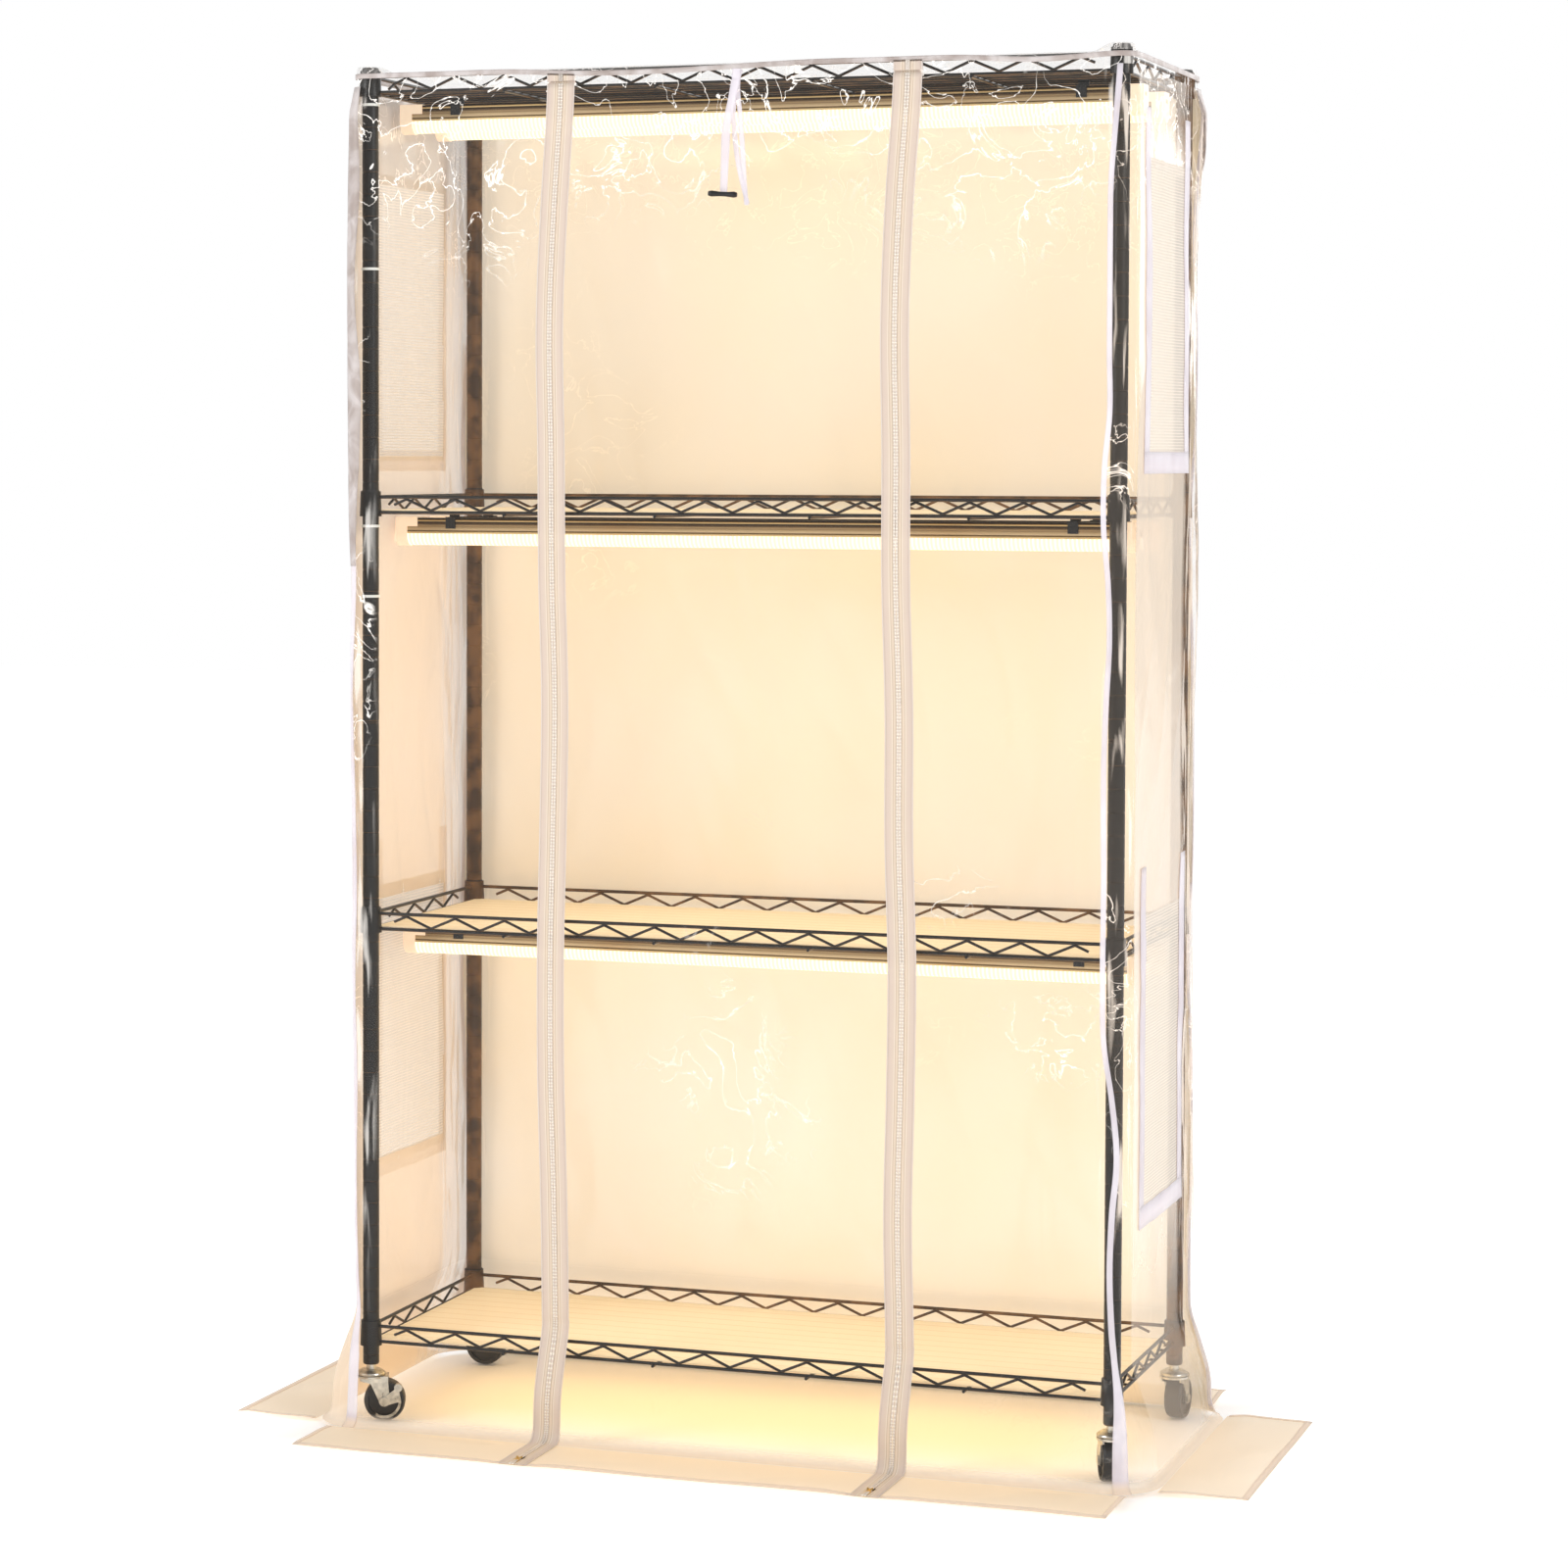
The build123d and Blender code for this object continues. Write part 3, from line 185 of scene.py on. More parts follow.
# Caps, sleeves, inserts and clips: black polypropylene straight from the mould, with a fine
# spark-eroded grain that leaves a soft sheen.
moulded_black, surface = new_material(
    "moulded_polypropylene_black", Base_Color=linear("17171A"), Roughness=0.45
)
place = add_node(moulded_black, "TexCoord", output="Object")
grain = add_node(moulded_black, "TexNoise", place, Scale=1500.0, Detail=3.0)
plug(add_node(moulded_black, "Bump", Height=grain, Strength=0.15, Distance=0.0003), surface, "Normal")
dress(moulded_black, "post_caps", "shelf_sleeves", "post_inserts", "light_clips", "tie_toggle")

# Rings on one post: white nylon, slightly translucent.
moulded_white, surface = new_material(
    "moulded_nylon_white", Base_Color=linear("EFECE4"), Roughness=0.4, Subsurface_Weight=0.1
)
place = add_node(moulded_white, "TexCoord", output="Object")
grain = add_node(moulded_white, "TexNoise", place, Scale=1200.0)
plug(add_node(moulded_white, "Bump", Height=grain, Strength=0.1, Distance=0.0003), surface, "Normal")
dress(moulded_white, "post_rings")

# Casters: pressed steel with bright zinc plate, slightly cloudy, and black polyurethane wheels
# with a moulded matt tread.
zinc, surface = new_material("zinc_plated_steel", Base_Color=linear("CDCCC4"), Metallic=1.0, Roughness=0.28)
place = add_node(zinc, "TexCoord", output="Object")
spangle = add_node(zinc, "TexNoise", place, Scale=160.0, Detail=5.0)
tones = add_node(zinc, "ValToRGB", spangle, stops=((0.3, "A6A49C"), (0.7, "E4E0D4")))
plug(tones, surface, "Base Color")
plug(add_node(zinc, "MapRange", spangle, 0.0, 1.0, 0.2, 0.4), surface, "Roughness")
dress(zinc, "caster_stems", "caster_fork", "caster_axle", "brake_lever")

tread, surface = new_material("polyurethane_black", Base_Color=linear("1B1B1D"), Roughness=0.42)
place = add_node(tread, "TexCoord", output="Object")
scuff = add_node(tread, "TexNoise", place, Scale=240.0, Detail=4.0)
plug(add_node(tread, "MapRange", scuff, 0.0, 1.0, 0.32, 0.55), surface, "Roughness")
plug(add_node(tread, "Bump", Height=scuff, Strength=0.2, Distance=0.0004), surface, "Normal")
dress(tread, "caster_wheel")

# Light bars: extruded aluminium with ribs along the bar, over a frosted tube that glows warm white
# from a row of lamps. Up the housing's sides the rib tones carry painted shade, darker towards the
# top, and painted highlights in bright gold lines. The eye sees the tube less bright than the light
# it gives, so that the lamps show.
BAR_TOPS, BAR_PITCH, HOUSING_H = 0.5677, 0.4826, 0.0182
LAMP_PITCH = 0.005
extrusion, surface = new_material(
    "extruded_aluminium_champagne", Base_Color=linear("C9B08C"), Metallic=0.75, Roughness=0.38
)
place = add_node(extrusion, "TexCoord", output="Object")
height = add_node(extrusion, "SeparateXYZ", place, output="Z")
raised = add_node(extrusion, "Math", height, BAR_TOPS - HOUSING_H, operation="SUBTRACT")
above_foot = add_node(extrusion, "Math", raised, BAR_PITCH, operation="MODULO")
up_side = add_node(extrusion, "Math", above_foot, HOUSING_H, operation="DIVIDE")
# Rib tones with painted shade towards the top and painted gold highlights, also used as the ribs' bump.
rib_tones_and_painted_light = add_node(extrusion, "ValToRGB", up_side, stops=(
    (0.0, "EED3A0"), (0.10, "E2C48E"), (0.14, "5A4630"), (0.19, "6B553A"), (0.24, "DCC298"),
    (0.40, "C6AC84"), (0.45, "9A8060"), (0.52, "B89C72"), (0.60, "6E5840"), (0.70, "3A2C1E"),
    (0.76, "2A2016"), (0.80, "E8C890"), (0.85, "C9A46A"), (0.89, "2A2016"), (1.0, "241C14"),
))
plug(rib_tones_and_painted_light, surface, "Base Color")
plug(add_node(extrusion, "Bump", Height=rib_tones_and_painted_light, Strength=0.5, Distance=0.0006), surface, "Normal")
dress(extrusion, "light_housings")

lamp_tube, surface = new_material(
    "frosted_polycarbonate_lit", Base_Color=linear("7A6E5A"), Roughness=0.4,
    Emission_Color=linear("FFE0AC"), Emission_Strength=2.65,
)
place = add_node(lamp_tube, "TexCoord", output="Object")
along = add_node(lamp_tube, "SeparateXYZ", place, output="X")
phase = add_node(lamp_tube, "Math", along, 2 * math.pi / LAMP_PITCH, operation="MULTIPLY")
bead = add_node(lamp_tube, "Math", phase, operation="SINE")
glow = add_node(lamp_tube, "ValToRGB", bead, stops=((0.0, "FFE0B0"), (0.9, "FFF6E2")))
plug(glow, surface, "Emission Color")
seen = add_node(lamp_tube, "LightPath", output="Is Camera Ray")
plug(add_node(lamp_tube, "MapRange", seen, 0.0, 1.0, 2.5, 1.45), surface, "Emission Strength")
dress(lamp_tube, "light_diffusers")

lamp_board, surface = new_material(
    "soldered_board_white", Base_Color=linear("F6F0E2"), Roughness=0.5,
    Emission_Color=linear("FFE9C4"), Emission_Strength=3.1,
)
place = add_node(lamp_board, "TexCoord", output="Object")
solder = add_node(lamp_board, "TexNoise", place, Scale=900.0)
plug(add_node(lamp_board, "Bump", Height=solder, Strength=0.1, Distance=0.0002), surface, "Normal")
dress(lamp_board, "led_boards")

# End caps: translucent polycarbonate; their weak warm emission is a painted glow of the lamp light shining
# through them.
end_cap, surface = new_material(
    "translucent_polycarbonate_cream", Base_Color=linear("F2DCC4"), Roughness=0.3,
    Emission_Color=linear("F6DCB8"), Emission_Strength=0.35,
)
place = add_node(end_cap, "TexCoord", output="Object")
grain = add_node(end_cap, "TexNoise", place, Scale=300.0)
plug(add_node(end_cap, "Bump", Height=grain, Strength=0.1, Distance=0.0003), surface, "Normal")
dress(end_cap, "light_end_caps")

# Shelf liners: frosted polypropylene sheet, through which the deck wires only just show. Their cream
# colour and weak warm emission are painted lamp light. The wires' lines are drawn a little darker, one over
# each wire.
POST_X, POST_Y, DECK_GAPS = 0.440, 0.161, 12
frosted_sheet, surface = new_material(
    "frosted_polypropylene_sheet", Base_Color=linear("F8E4BE"), Roughness=0.5, Alpha=0.86,
    Emission_Color=linear("FFE6B8"), Emission_Strength=0.20,
)
place = add_node(frosted_sheet, "TexCoord", output="Object")
half_turns = math.pi * DECK_GAPS
depth = add_node(frosted_sheet, "SeparateXYZ", place, output="Y")
over_wires = add_node(
    frosted_sheet, "Math", depth, half_turns / POST_Y, half_turns, operation="MULTIPLY_ADD"
)
wire_below = add_node(frosted_sheet, "Math", over_wires, operation="COSINE")
tones = add_node(frosted_sheet, "ValToRGB", wire_below, stops=((0.90, "FAEACA"), (1.0, "E8D0A4")))
plug(tones, surface, "Base Color")
frost = add_node(frosted_sheet, "TexNoise", place, Scale=600.0, Detail=3.0)
plug(add_node(frosted_sheet, "Bump", Height=frost, Strength=0.15, Distance=0.0004), surface, "Normal")
dress(frosted_sheet, "shelf_liners")

# Cover walls: clear PVC film hung over the rack, pulled round the posts, with shallow folds
# and fine creases from packing, drawn as painted white highlights. Each wall is one sheet from the
# top seam to the floor, and near the floor it flares: FLARE holds how far out it is, and how high.
WALL_X, WALL_Y, CORNER_R = 0.4560, 0.1770, 0.016
WALL_TOP, BAND_FOOT, SEAM_TOP, FLARE_TOP = 1.546, 1.5550, 1.5608, 0.139
FLARE = [(0.0, 0.139), (0.003, 0.122), (0.0145, 0.092), (0.0245, 0.063), (0.0285, 0.042),
         (0.0298, 0.022), (0.0335, 0.0085), (0.041, 0.0032)]
FLARE_OUT = FLARE[-1][0]
SIDE_LAP = 0.014
HEM = 0.141


def smooth_through(points, share):
    """A point on a smooth line through the points, share running from 0 to 1."""
    steps = len(points) - 1
    index = min(int(share * steps), steps - 1)
    t = share * steps - index
    a, b, c, d = (points[min(max(index + k, 0), steps)] for k in (-1, 0, 1, 2))
    return tuple(
        0.5 * (2 * q + (r - p) * t + (2 * p - 5 * q + 4 * r - s) * t * t + (3 * q - p - 3 * r + s) * t ** 3)
        for p, q, r, s in zip(a, b, c, d)
    )


def round_stand(distance, out):
    """A point on the cover's outline, distance running from the middle of the front towards
    +X and back behind to the front again, and out metres outside the walls."""
    long_run, short_run, arc = 2 * (WALL_X - CORNER_R), 2 * (WALL_Y - CORNER_R), CORNER_R * math.pi / 2
    run = (distance + long_run / 2) % (2 * (long_run + short_run + 2 * arc))
    x, y, heading = -(WALL_X - CORNER_R), -(WALL_Y - CORNER_R), 0.0
    for length in (long_run, short_run, long_run, short_run):
        ahead = (math.cos(heading), math.sin(heading))
        side = (ahead[1], -ahead[0])
        reach = CORNER_R + out
        if run <= length:
            return x + ahead[0] * run + side[0] * reach, y + ahead[1] * run + side[1] * reach
        run -= length
        x, y = x + ahead[0] * length, y + ahead[1] * length
        if run <= arc:
            turn = heading - math.pi / 2 + run / CORNER_R
            return x + math.cos(turn) * reach, y + math.sin(turn) * reach
        run -= arc
        heading += math.pi / 2
    return x, y


HALF_FRONT = WALL_X - CORNER_R + CORNER_R * math.pi / 4
HALF_SIDE = WALL_Y - CORNER_R + CORNER_R * math.pi / 4
CORNERS = {"front_right": HALF_FRONT, "rear_right": HALF_FRONT + 2 * HALF_SIDE,
           "rear_left": 3 * HALF_FRONT + 2 * HALF_SIDE, "front_left": -HALF_FRONT}
ROUND = 4 * (HALF_FRONT + HALF_SIDE)

# How far each corner seam wanders along the outline, and how far the film stands off each corner,
# in millimetres, at even steps from the top seam down.
SEAM_WAVES = {
    "front_right": (-10.5, -14.6, -19.2, -19.8, -19.6, -19.4, -18.5, -24.1, -24.9, -19.6, -17.7, -20.3, -22.4,
                    -22.3, -21.4, -21.7, -22.0, -20.6, -11.4, -6.1, -10.4, -12.3, -10.0, -5.2, -5.7),
    "front_left": (-1.0, 2.0, -2.0, 3.0, 1.0, 3.0, -2.0, 1.0, 3.0, 0.0, 2.0, -1.0, 1.7, 12.0),
    "rear_right": (0.0, 6.0, -4.0, 10.0, 4.0, -5.0, 6.0, 0.0, 4.0, 0.0),
    "rear_left": (0.0, -5.0, 4.0, -8.0, 2.0, 6.0, -4.0, 0.0),
}
SLACK = {
    "front_right": (2.0, 1.0, 3.0, 0.0, 2.0, 3.0, 0.0, 2.0, 0.0),
    "front_left": (6.0, 8.5, 8.0, 6.5, 6.0, 5.5, 4.0, 2.0, 0.0),
    "rear_right": (9.0, 2.0, 1.0, 5.0, 0.5, 1.0, 3.0, 5.0, 3.0),
    "rear_left": (3.0, 2.0, 4.0, 1.0, 3.0, 2.0, 3.0, 1.0, 0.0),
}
WAVES_FOOT = 0.05
FREE_FOOT, FREE_BAND, SEAM_BAND = 0.02, 0.10, 0.03


def down_wall(z):
    """The share of the way down the wall from the top seam."""
    return min(max((WALL_TOP - z) / (WALL_TOP - WAVES_FOOT), 0), 1)


def held(z):
    """1 where the film hangs free, falling to 0 at the top seam and at the floor."""
    return min(1, max(z - FREE_FOOT, 0) / FREE_BAND) * min(1, max(WALL_TOP - z, 0) / SEAM_BAND)


def millimetres(values, share):
    """A smooth value at a share of the way along a row given in millimetres, in metres."""
    return smooth_through([(value / 1000,) for value in values], share)[0]


def slack_at(corner, z):
    """How far the film stands off the stand at a corner."""
    return millimetres(SLACK[corner], down_wall(z)) * held(z)


def seam_at(corner, z):
    """Where along the outline a corner seam lies at height z: it wanders a little."""
    return CORNERS[corner] + millimetres(SEAM_WAVES[corner], down_wall(z))


# Each zip's x, and how far it wanders from it in millimetres between the door's top and the flare.
ZIPS = {
    "zip_left": (-0.206, (6.4, -1.6, -7.2, -4.8, -3.2, 0.0, -1.6, -4.8, -4.0, 0.0, 2.4)),
    "zip_right": (0.200, (5.6, -3.2, -8.0, -5.6, -4.8, -0.8, 0.0, 4.0, 3.2, 0.8, 4.0)),
}
DOOR_TOP = 1.543


def zip_at(side, z):
    """The x of a zip at height z."""
    middle, waves = ZIPS[side]
    share = min(max((DOOR_TOP - z) / (DOOR_TOP - FLARE_TOP), 0), 1)
    return middle + millimetres(waves, share)


def crease(distance, z, seed, depth):
    """How far the film stands off its plane: broad folds and sharper ridges, in metres."""
    broad = noise.noise(Vector((distance * 5, z * 2.2, seed)))
    slant = noise.noise(Vector((distance * 16 + z * 6, z * 5 - distance * 7, seed + 9)))
    ridge = 1 - 2 * abs(noise.noise(Vector((distance * 11 - z * 3, z * 4, seed + 4))))
    return depth * (0.9 * broad + 0.45 * slant + 0.35 * max(ridge, 0) ** 3)


def sheet_piece(name, across, along, place, material, thickness=0.0):
    """A grid of cells shaped by place(u, v), u and v from 0 to 1; thickness makes it a solid."""
    bpy.ops.object.select_all(action="DESELECT")
    bpy.ops.mesh.primitive_grid_add(x_subdivisions=across, y_subdivisions=along, size=1)
    piece = bpy.context.object
    piece.name = name
    for vertex in piece.data.vertices:
        vertex.co = place(vertex.co.x + 0.5, vertex.co.y + 0.5)
    piece.data.materials.append(material)
    bpy.ops.object.mode_set(mode="EDIT")
    bpy.ops.mesh.select_all(action="SELECT")
    bpy.ops.mesh.remove_doubles(threshold=1e-5)
    bpy.ops.mesh.normals_make_consistent(inside=False)
    bpy.ops.object.mode_set(mode="OBJECT")
    if thickness:
        wall = piece.modifiers.new("wall", "SOLIDIFY")
        wall.thickness = thickness
        wall.offset = 0
        bpy.ops.object.modifier_apply(modifier="wall")
    bpy.ops.object.shade_smooth()
    return piece


# Cream of the lamps' light on the floor, painted into the walls' foot, the floor film and the tape lying on
# the floor.
PAINTED_LAMP_CREAM = "F6E2CA"


def film_material(name, haze, colour, crease_highlights, streak_reflections, seed, side_wall=False, glow="000000", ripples=0.4,
                  clear=0.0, low_haze=1.0, front_haze=1.0, top_haze=1.0, top_colour=None, gloss=0.16,
                  outer_glow=1.0):
    """Clear film: a little haze, creases where it was folded for packing, most of them high up, drawn
    as painted white highlights, and streaks and shards of painted reflection where it is pulled round
    the posts, with a painted glow of lamp light where glow is given. A side wall's haze parts in
    upright patches by the rear post and at its front end, and every wall turns cream where it meets
    the floor, painted lamp light."""
    material, surface = new_material(
        name, Base_Color=linear(colour), Roughness=gloss, IOR=1.5, Specular_IOR_Level=0.8,
        Emission_Strength=1.0,
    )
    way, half = ("Y", WALL_Y) if side_wall else ("X", WALL_X)
    place = add_node(material, "TexCoord", output="Object")
    height, along = (add_node(material, "SeparateXYZ", place, output=axis) for axis in ("Z", way))
    up_wall = add_node(material, "MapRange", height, 0.0, 1.6)
    # Painted lamp light: the wall's colour turns cream at its foot, where it meets the floor.
    tones = add_node(material, "ValToRGB", up_wall, stops=(
        (0.006, PAINTED_LAMP_CREAM), (0.020, colour), (0.85, colour), (0.92, top_colour or colour),
    ))
    plug(tones, surface, "Base Color")

    # Squiggles, the creases drawn as painted highlights, show in patches: mostly high up, and now and
    # then by the posts.
    shifted = add_node(material, "Mapping", place, Location=(seed, seed * 2, seed * 3))
    squiggle = add_node(material, "TexNoise", shifted, Scale=17.0, Detail=4.0, Distortion=1.6)
    uncentred = add_node(material, "Math", squiggle, 0.5, operation="SUBTRACT")
    apart = add_node(material, "Math", uncentred, operation="ABSOLUTE")
    line = add_node(material, "MapRange", apart, 0.0, 0.012, 1.0, 0.0)
    patch = add_node(material, "TexNoise", shifted, Scale=4.0)
    high = add_node(material, "MapRange", height, 1.30, 1.46, -0.15, 0.16)
    patch_high = add_node(material, "Math", patch, high, operation="ADD")
    spread = add_node(material, "MapRange", patch_high, 0.46, 0.58, 0.0, crease_highlights)
    from_middle = add_node(material, "Math", along, operation="ABSOLUTE")
    near_post = add_node(material, "MapRange", from_middle, half - 0.034, half - 0.024)
    now_and_then = add_node(material, "MapRange", patch, 0.56, 0.60, 0.0, crease_highlights)
    by_post = add_node(material, "Math", near_post, now_and_then, operation="MULTIPLY")
    where = add_node(material, "Math", by_post, spread, operation="MAXIMUM")
    shown = add_node(material, "Math", line, where, operation="MULTIPLY")

    # Upright streaks, painted reflections where the film is pulled round the posts, lie only by the
    # posts. Both kinds of painted highlight fade near the floor.
    drawn = add_node(material, "Mapping", place, Location=(seed, 0, 0), Scale=(1.0, 1.0, 0.10))
    upright = add_node(material, "TexNoise", drawn, Scale=90.0, Detail=2.0, Distortion=0.3)
    streak = add_node(material, "MapRange", upright, 0.56, 0.68, 0.0, streak_reflections)
    pulled = add_node(material, "Math", streak, near_post, operation="MULTIPLY")
    all_painted_highlights = add_node(material, "Math", shown, pulled, operation="MAXIMUM")
    smooth_foot = add_node(material, "MapRange", height, 0.17, 0.30, 0.12)
    painted_highlights = add_node(material, "Math", all_painted_highlights, smooth_foot, operation="MULTIPLY")

    # Haze: uneven, and thinner low down, at the top, at the front end and in the rear patches.
    drift = add_node(material, "TexNoise", shifted, Scale=2.0, Detail=3.0)
    veil = add_node(material, "MapRange", drift, 0.3, 0.7, haze * 0.85, haze * 1.1)
    at_rear = add_node(material, "MapRange", along, 0.085, 0.105)
    parted = add_node(material, "MapRange", upright, 0.42, 0.48, 1.0, 1.0 - clear)
    for share in (
        add_node(material, "MapRange", height, 0.16, 0.34, low_haze),
        add_node(material, "MapRange", height, 1.45, 1.50, 1.0, top_haze),
        add_node(material, "MapRange", along, -0.146, -0.136, front_haze),
        add_node(material, "MapRange", at_rear, 0.0, 1.0, 1.0, parted),
    ):
        veil = add_node(material, "Math", veil, share, operation="MULTIPLY")
    cover = add_node(material, "Math", painted_highlights, veil, operation="ADD", use_clamp=True)
    # At its foot the film turns nearly opaque, so that the painted cream shows.
    toe = add_node(material, "MapRange", height, 0.005, 0.018, 0.95, 0.0)
    plug(add_node(material, "Math", cover, toe, operation="MAXIMUM"), surface, "Alpha")

    # Emission: the painted highlights in pale grey, elsewhere the wall's painted glow colour, scaled by
    # outer_glow when seen from outside.
    painted_highlight_colour = add_node(material, "ValToRGB", painted_highlights, stops=((0.0, glow), (0.7, "DAD4D0")))
    plug(painted_highlight_colour, surface, "Emission Color")
    from_inside = add_node(material, "NewGeometry", output="Backfacing")
    plug(add_node(material, "MapRange", from_inside, 0.0, 1.0, outer_glow), surface, "Emission Strength")
    plug(add_node(material, "MapRange", height, 0.03, 0.16, 0.6, gloss), surface, "Roughness")
    ripple = add_node(material, "TexNoise", shifted, Scale=26.0, Detail=3.0, Distortion=0.8)
    plug(add_node(material, "Bump", Height=ripple, Strength=ripples, Distance=0.003), surface, "Normal")
    return material


# The glow colours given below are a painted glow of lamp light in the side walls, the back and the floor
# film.
film_front = film_material("pvc_film_front", 0.022, "FFFAF2", 0.9, 0.4, 1.3)
film_right = film_material(
    "pvc_film_right", 0.84, "F2E0CC", 0.8, 0.5, 4.1, True, "302A22", 0.25,
    clear=0.9, low_haze=0.35, front_haze=0.06, top_haze=0.3,
)
film_left = film_material(
    "pvc_film_left", 0.84, "F6E0C6", 0.4, 0.2, 6.6, True, "302A22", 0.25, clear=0.2, top_colour="C8BCB2"
)
film_back = film_material(
    "pvc_film_back", 0.88, "FBE9CC", 0.1, 0.1, 7.7, glow="5E5A4A", ripples=0.2, outer_glow=0.2
)
film_roof = film_material("pvc_film_roof", 0.16, "F4EEE8", 0.6, 0.5, 2.9)
film_skirt = film_material(
    "pvc_film_floor", 0.90, PAINTED_LAMP_CREAM, 0.0, 0.0, 5.5, glow="4A4A3C", ripples=0.05, gloss=0.6
)


def stand_in(piece, body, slot, *nodes):
    """Lets a piece ride on its body in place of CAD nodes."""
    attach(piece, body)
    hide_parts(*nodes)


BEND_START = 0.86


def wall_path(v, top=WALL_TOP):
    """From the top seam, v = 0, to the foot of the flare, v = 1: out and height."""
    if v < BEND_START:
        return 0.0, top + (FLARE_TOP - top) * v / BEND_START
    return smooth_through(FLARE, (v - BEND_START) / (1 - BEND_START))


TAPE_HALF, ZIP_GAP = 0.0165, 0.0002
SWAY, EDGE_SPARE, LOOSE_BAND = 0.0022, 0.002, 0.035

# The edges between which each wall hangs, the seed of its folds and their depth.
WALLS = {
    "film_front_left": ("front_left", "zip_left", 1.0, 0.004),
    "film_front_right": ("zip_right", "front_right", 2.0, 0.004),
    "film_door": ("zip_left", "zip_right", 3.0, 0.004),
    "film_right": ("front_right", "rear_right", 4.0, 0.003),
    "film_back": ("rear_right", "rear_left", 5.0, 0.004),
    "film_left": ("rear_left", "front_left", 6.0, 0.003),
}


def seam_sway(z):
    """How far the zips stand off the flat of the wall at height z."""
    return SWAY * noise.noise(Vector((2.7, z * 4.5, 6.1))) * held(z)


def wall_ends(name, z):
    """Where a wall starts and ends along the outline at height z; the door's film stays a hair
    inside the zips."""
    start, end = (zip_at(edge, z) if edge in ZIPS else seam_at(edge, z) for edge in WALLS[name][:2])
    inward = ZIP_GAP if name == "film_door" else 0.0
    if name == "film_left":
        end += ROUND
    return start + inward, end - inward


def film_out(name, distance, z):
    """How far the film of one wall stands off the cover's outline at a place on it."""
    left, right, seed, depth = WALLS[name]
    start, end = wall_ends(name, z)
    edge = left if distance - start < end - distance else right
    at_edge = seam_sway(z) if edge in ZIPS else slack_at(edge, z)
    from_edge = min(distance - start, end - distance)
    loose = min(max((from_edge - TAPE_HALF - EDGE_SPARE) / LOOSE_BAND, 0), 1)
    loose = loose * loose * (3 - 2 * loose)
    return crease(distance, z, seed, depth) * loose * held(z) + at_edge * (1 - loose)


def wall_piece(name, material, across):
    """A wall between its two upright edges, from the top seam to the foot of the flare."""
    top = DOOR_TOP + ZIP_GAP if name == "film_door" else WALL_TOP

    def place(u, v):
        out, z = wall_path(v, top)
        start, end = wall_ends(name, z)
        distance = start + (end - start) * u
        x, y = round_stand(distance, out + film_out(name, distance, z))
        return x, y, z
    return sheet_piece(name, across, 170, place, material)


WINDOW_HALF, WINDOW_BOTTOMS, WINDOW_H = 0.112, (0.272, 1.105), 0.400
WINDOW_TAPE, WINDOW_PELMET, CUT_SPARE = 0.024, 0.065, 0.008


def cut_windows(wall):
    """Opens the two windows of a side wall, under the middle line of their tapes."""
    bpy.ops.object.select_all(action="DESELECT")
    bpy.context.view_layer.objects.active = wall
    wall.select_set(True)
    bpy.ops.object.mode_set(mode="EDIT")
    bpy.ops.mesh.select_mode(type="FACE")
    bpy.ops.object.mode_set(mode="OBJECT")
    inset = WINDOW_TAPE / 2
    tall = WINDOW_H - WINDOW_PELMET - inset
    for face in wall.data.polygons:
        inside_z = any(CUT_SPARE < face.center.z - low - inset < tall for low in WINDOW_BOTTOMS)
        face.select = abs(face.center.y) < WINDOW_HALF - inset and inside_z
    bpy.ops.object.mode_set(mode="EDIT")
    bpy.ops.mesh.delete(type="FACE")
    bpy.ops.object.mode_set(mode="OBJECT")


for name, material, across, body, wide, nodes in (
    ("film_front_left", film_front, 60, "stand", 0.247, ("cover_front_left", "skirt_front")),
    ("film_front_right", film_front, 64, "stand", 0.235, ("cover_front_right", "skirt_front")),
    ("film_door", film_front, 90, "door", 0.405, ("door_panel", "door_skirt")),
    ("film_right", film_right, 90, "stand", 0.369, ("cover_right", "skirt_right")),
    ("film_back", film_back, 180, "stand", 0.910, ("cover_back", "skirt_rear")),
    ("film_left", film_left, 90, "stand", 0.350, ("cover_left", "skirt_left")),
):
    wall = wall_piece(name, material, across)
    stand_in(wall, body, "film", *nodes)
    if name in ("film_right", "film_left"):
        cut_windows(wall)

# Roof: the same film over the four post caps, resting on the top rods, slack between them and
# drawn down to the top seam.
ROOF_RIM, ROOF_LIP = 0.0162, 0.0004
ROOF_TOP, CAP_TOP, CAP_R, CAP_DRAPE = 1.5612, 1.5693, 0.011, 0.021
INNER_X, INNER_Y = POST_X - 0.015, POST_Y - 0.016
SAG_FROM, SAG_BAND = 0.13, 0.03

# How far the top seam sags at even steps from left to right, in millimetres.
FRONT_SAG = (0.0, 0.2, 0.3, 4.4, 5.0, 2.5, 0.0, 0.0, 0.4, 4.8, 1.0)
REAR_SAG = (1.0, 3.6, 1.2, 0.0, 3.0, 4.6, 2.0, 0.0, 2.0, 3.8, 0.6)


def seam_sag(x, y):
    """How far the top seam hangs below its highest line, at the front and the rear."""
    share = min(max((x + POST_X) / (2 * POST_X), 0), 1)
    across = min(max((abs(y) - SAG_FROM) / SAG_BAND, 0), 1)
    return millimetres(FRONT_SAG if y < 0 else REAR_SAG, share) * across


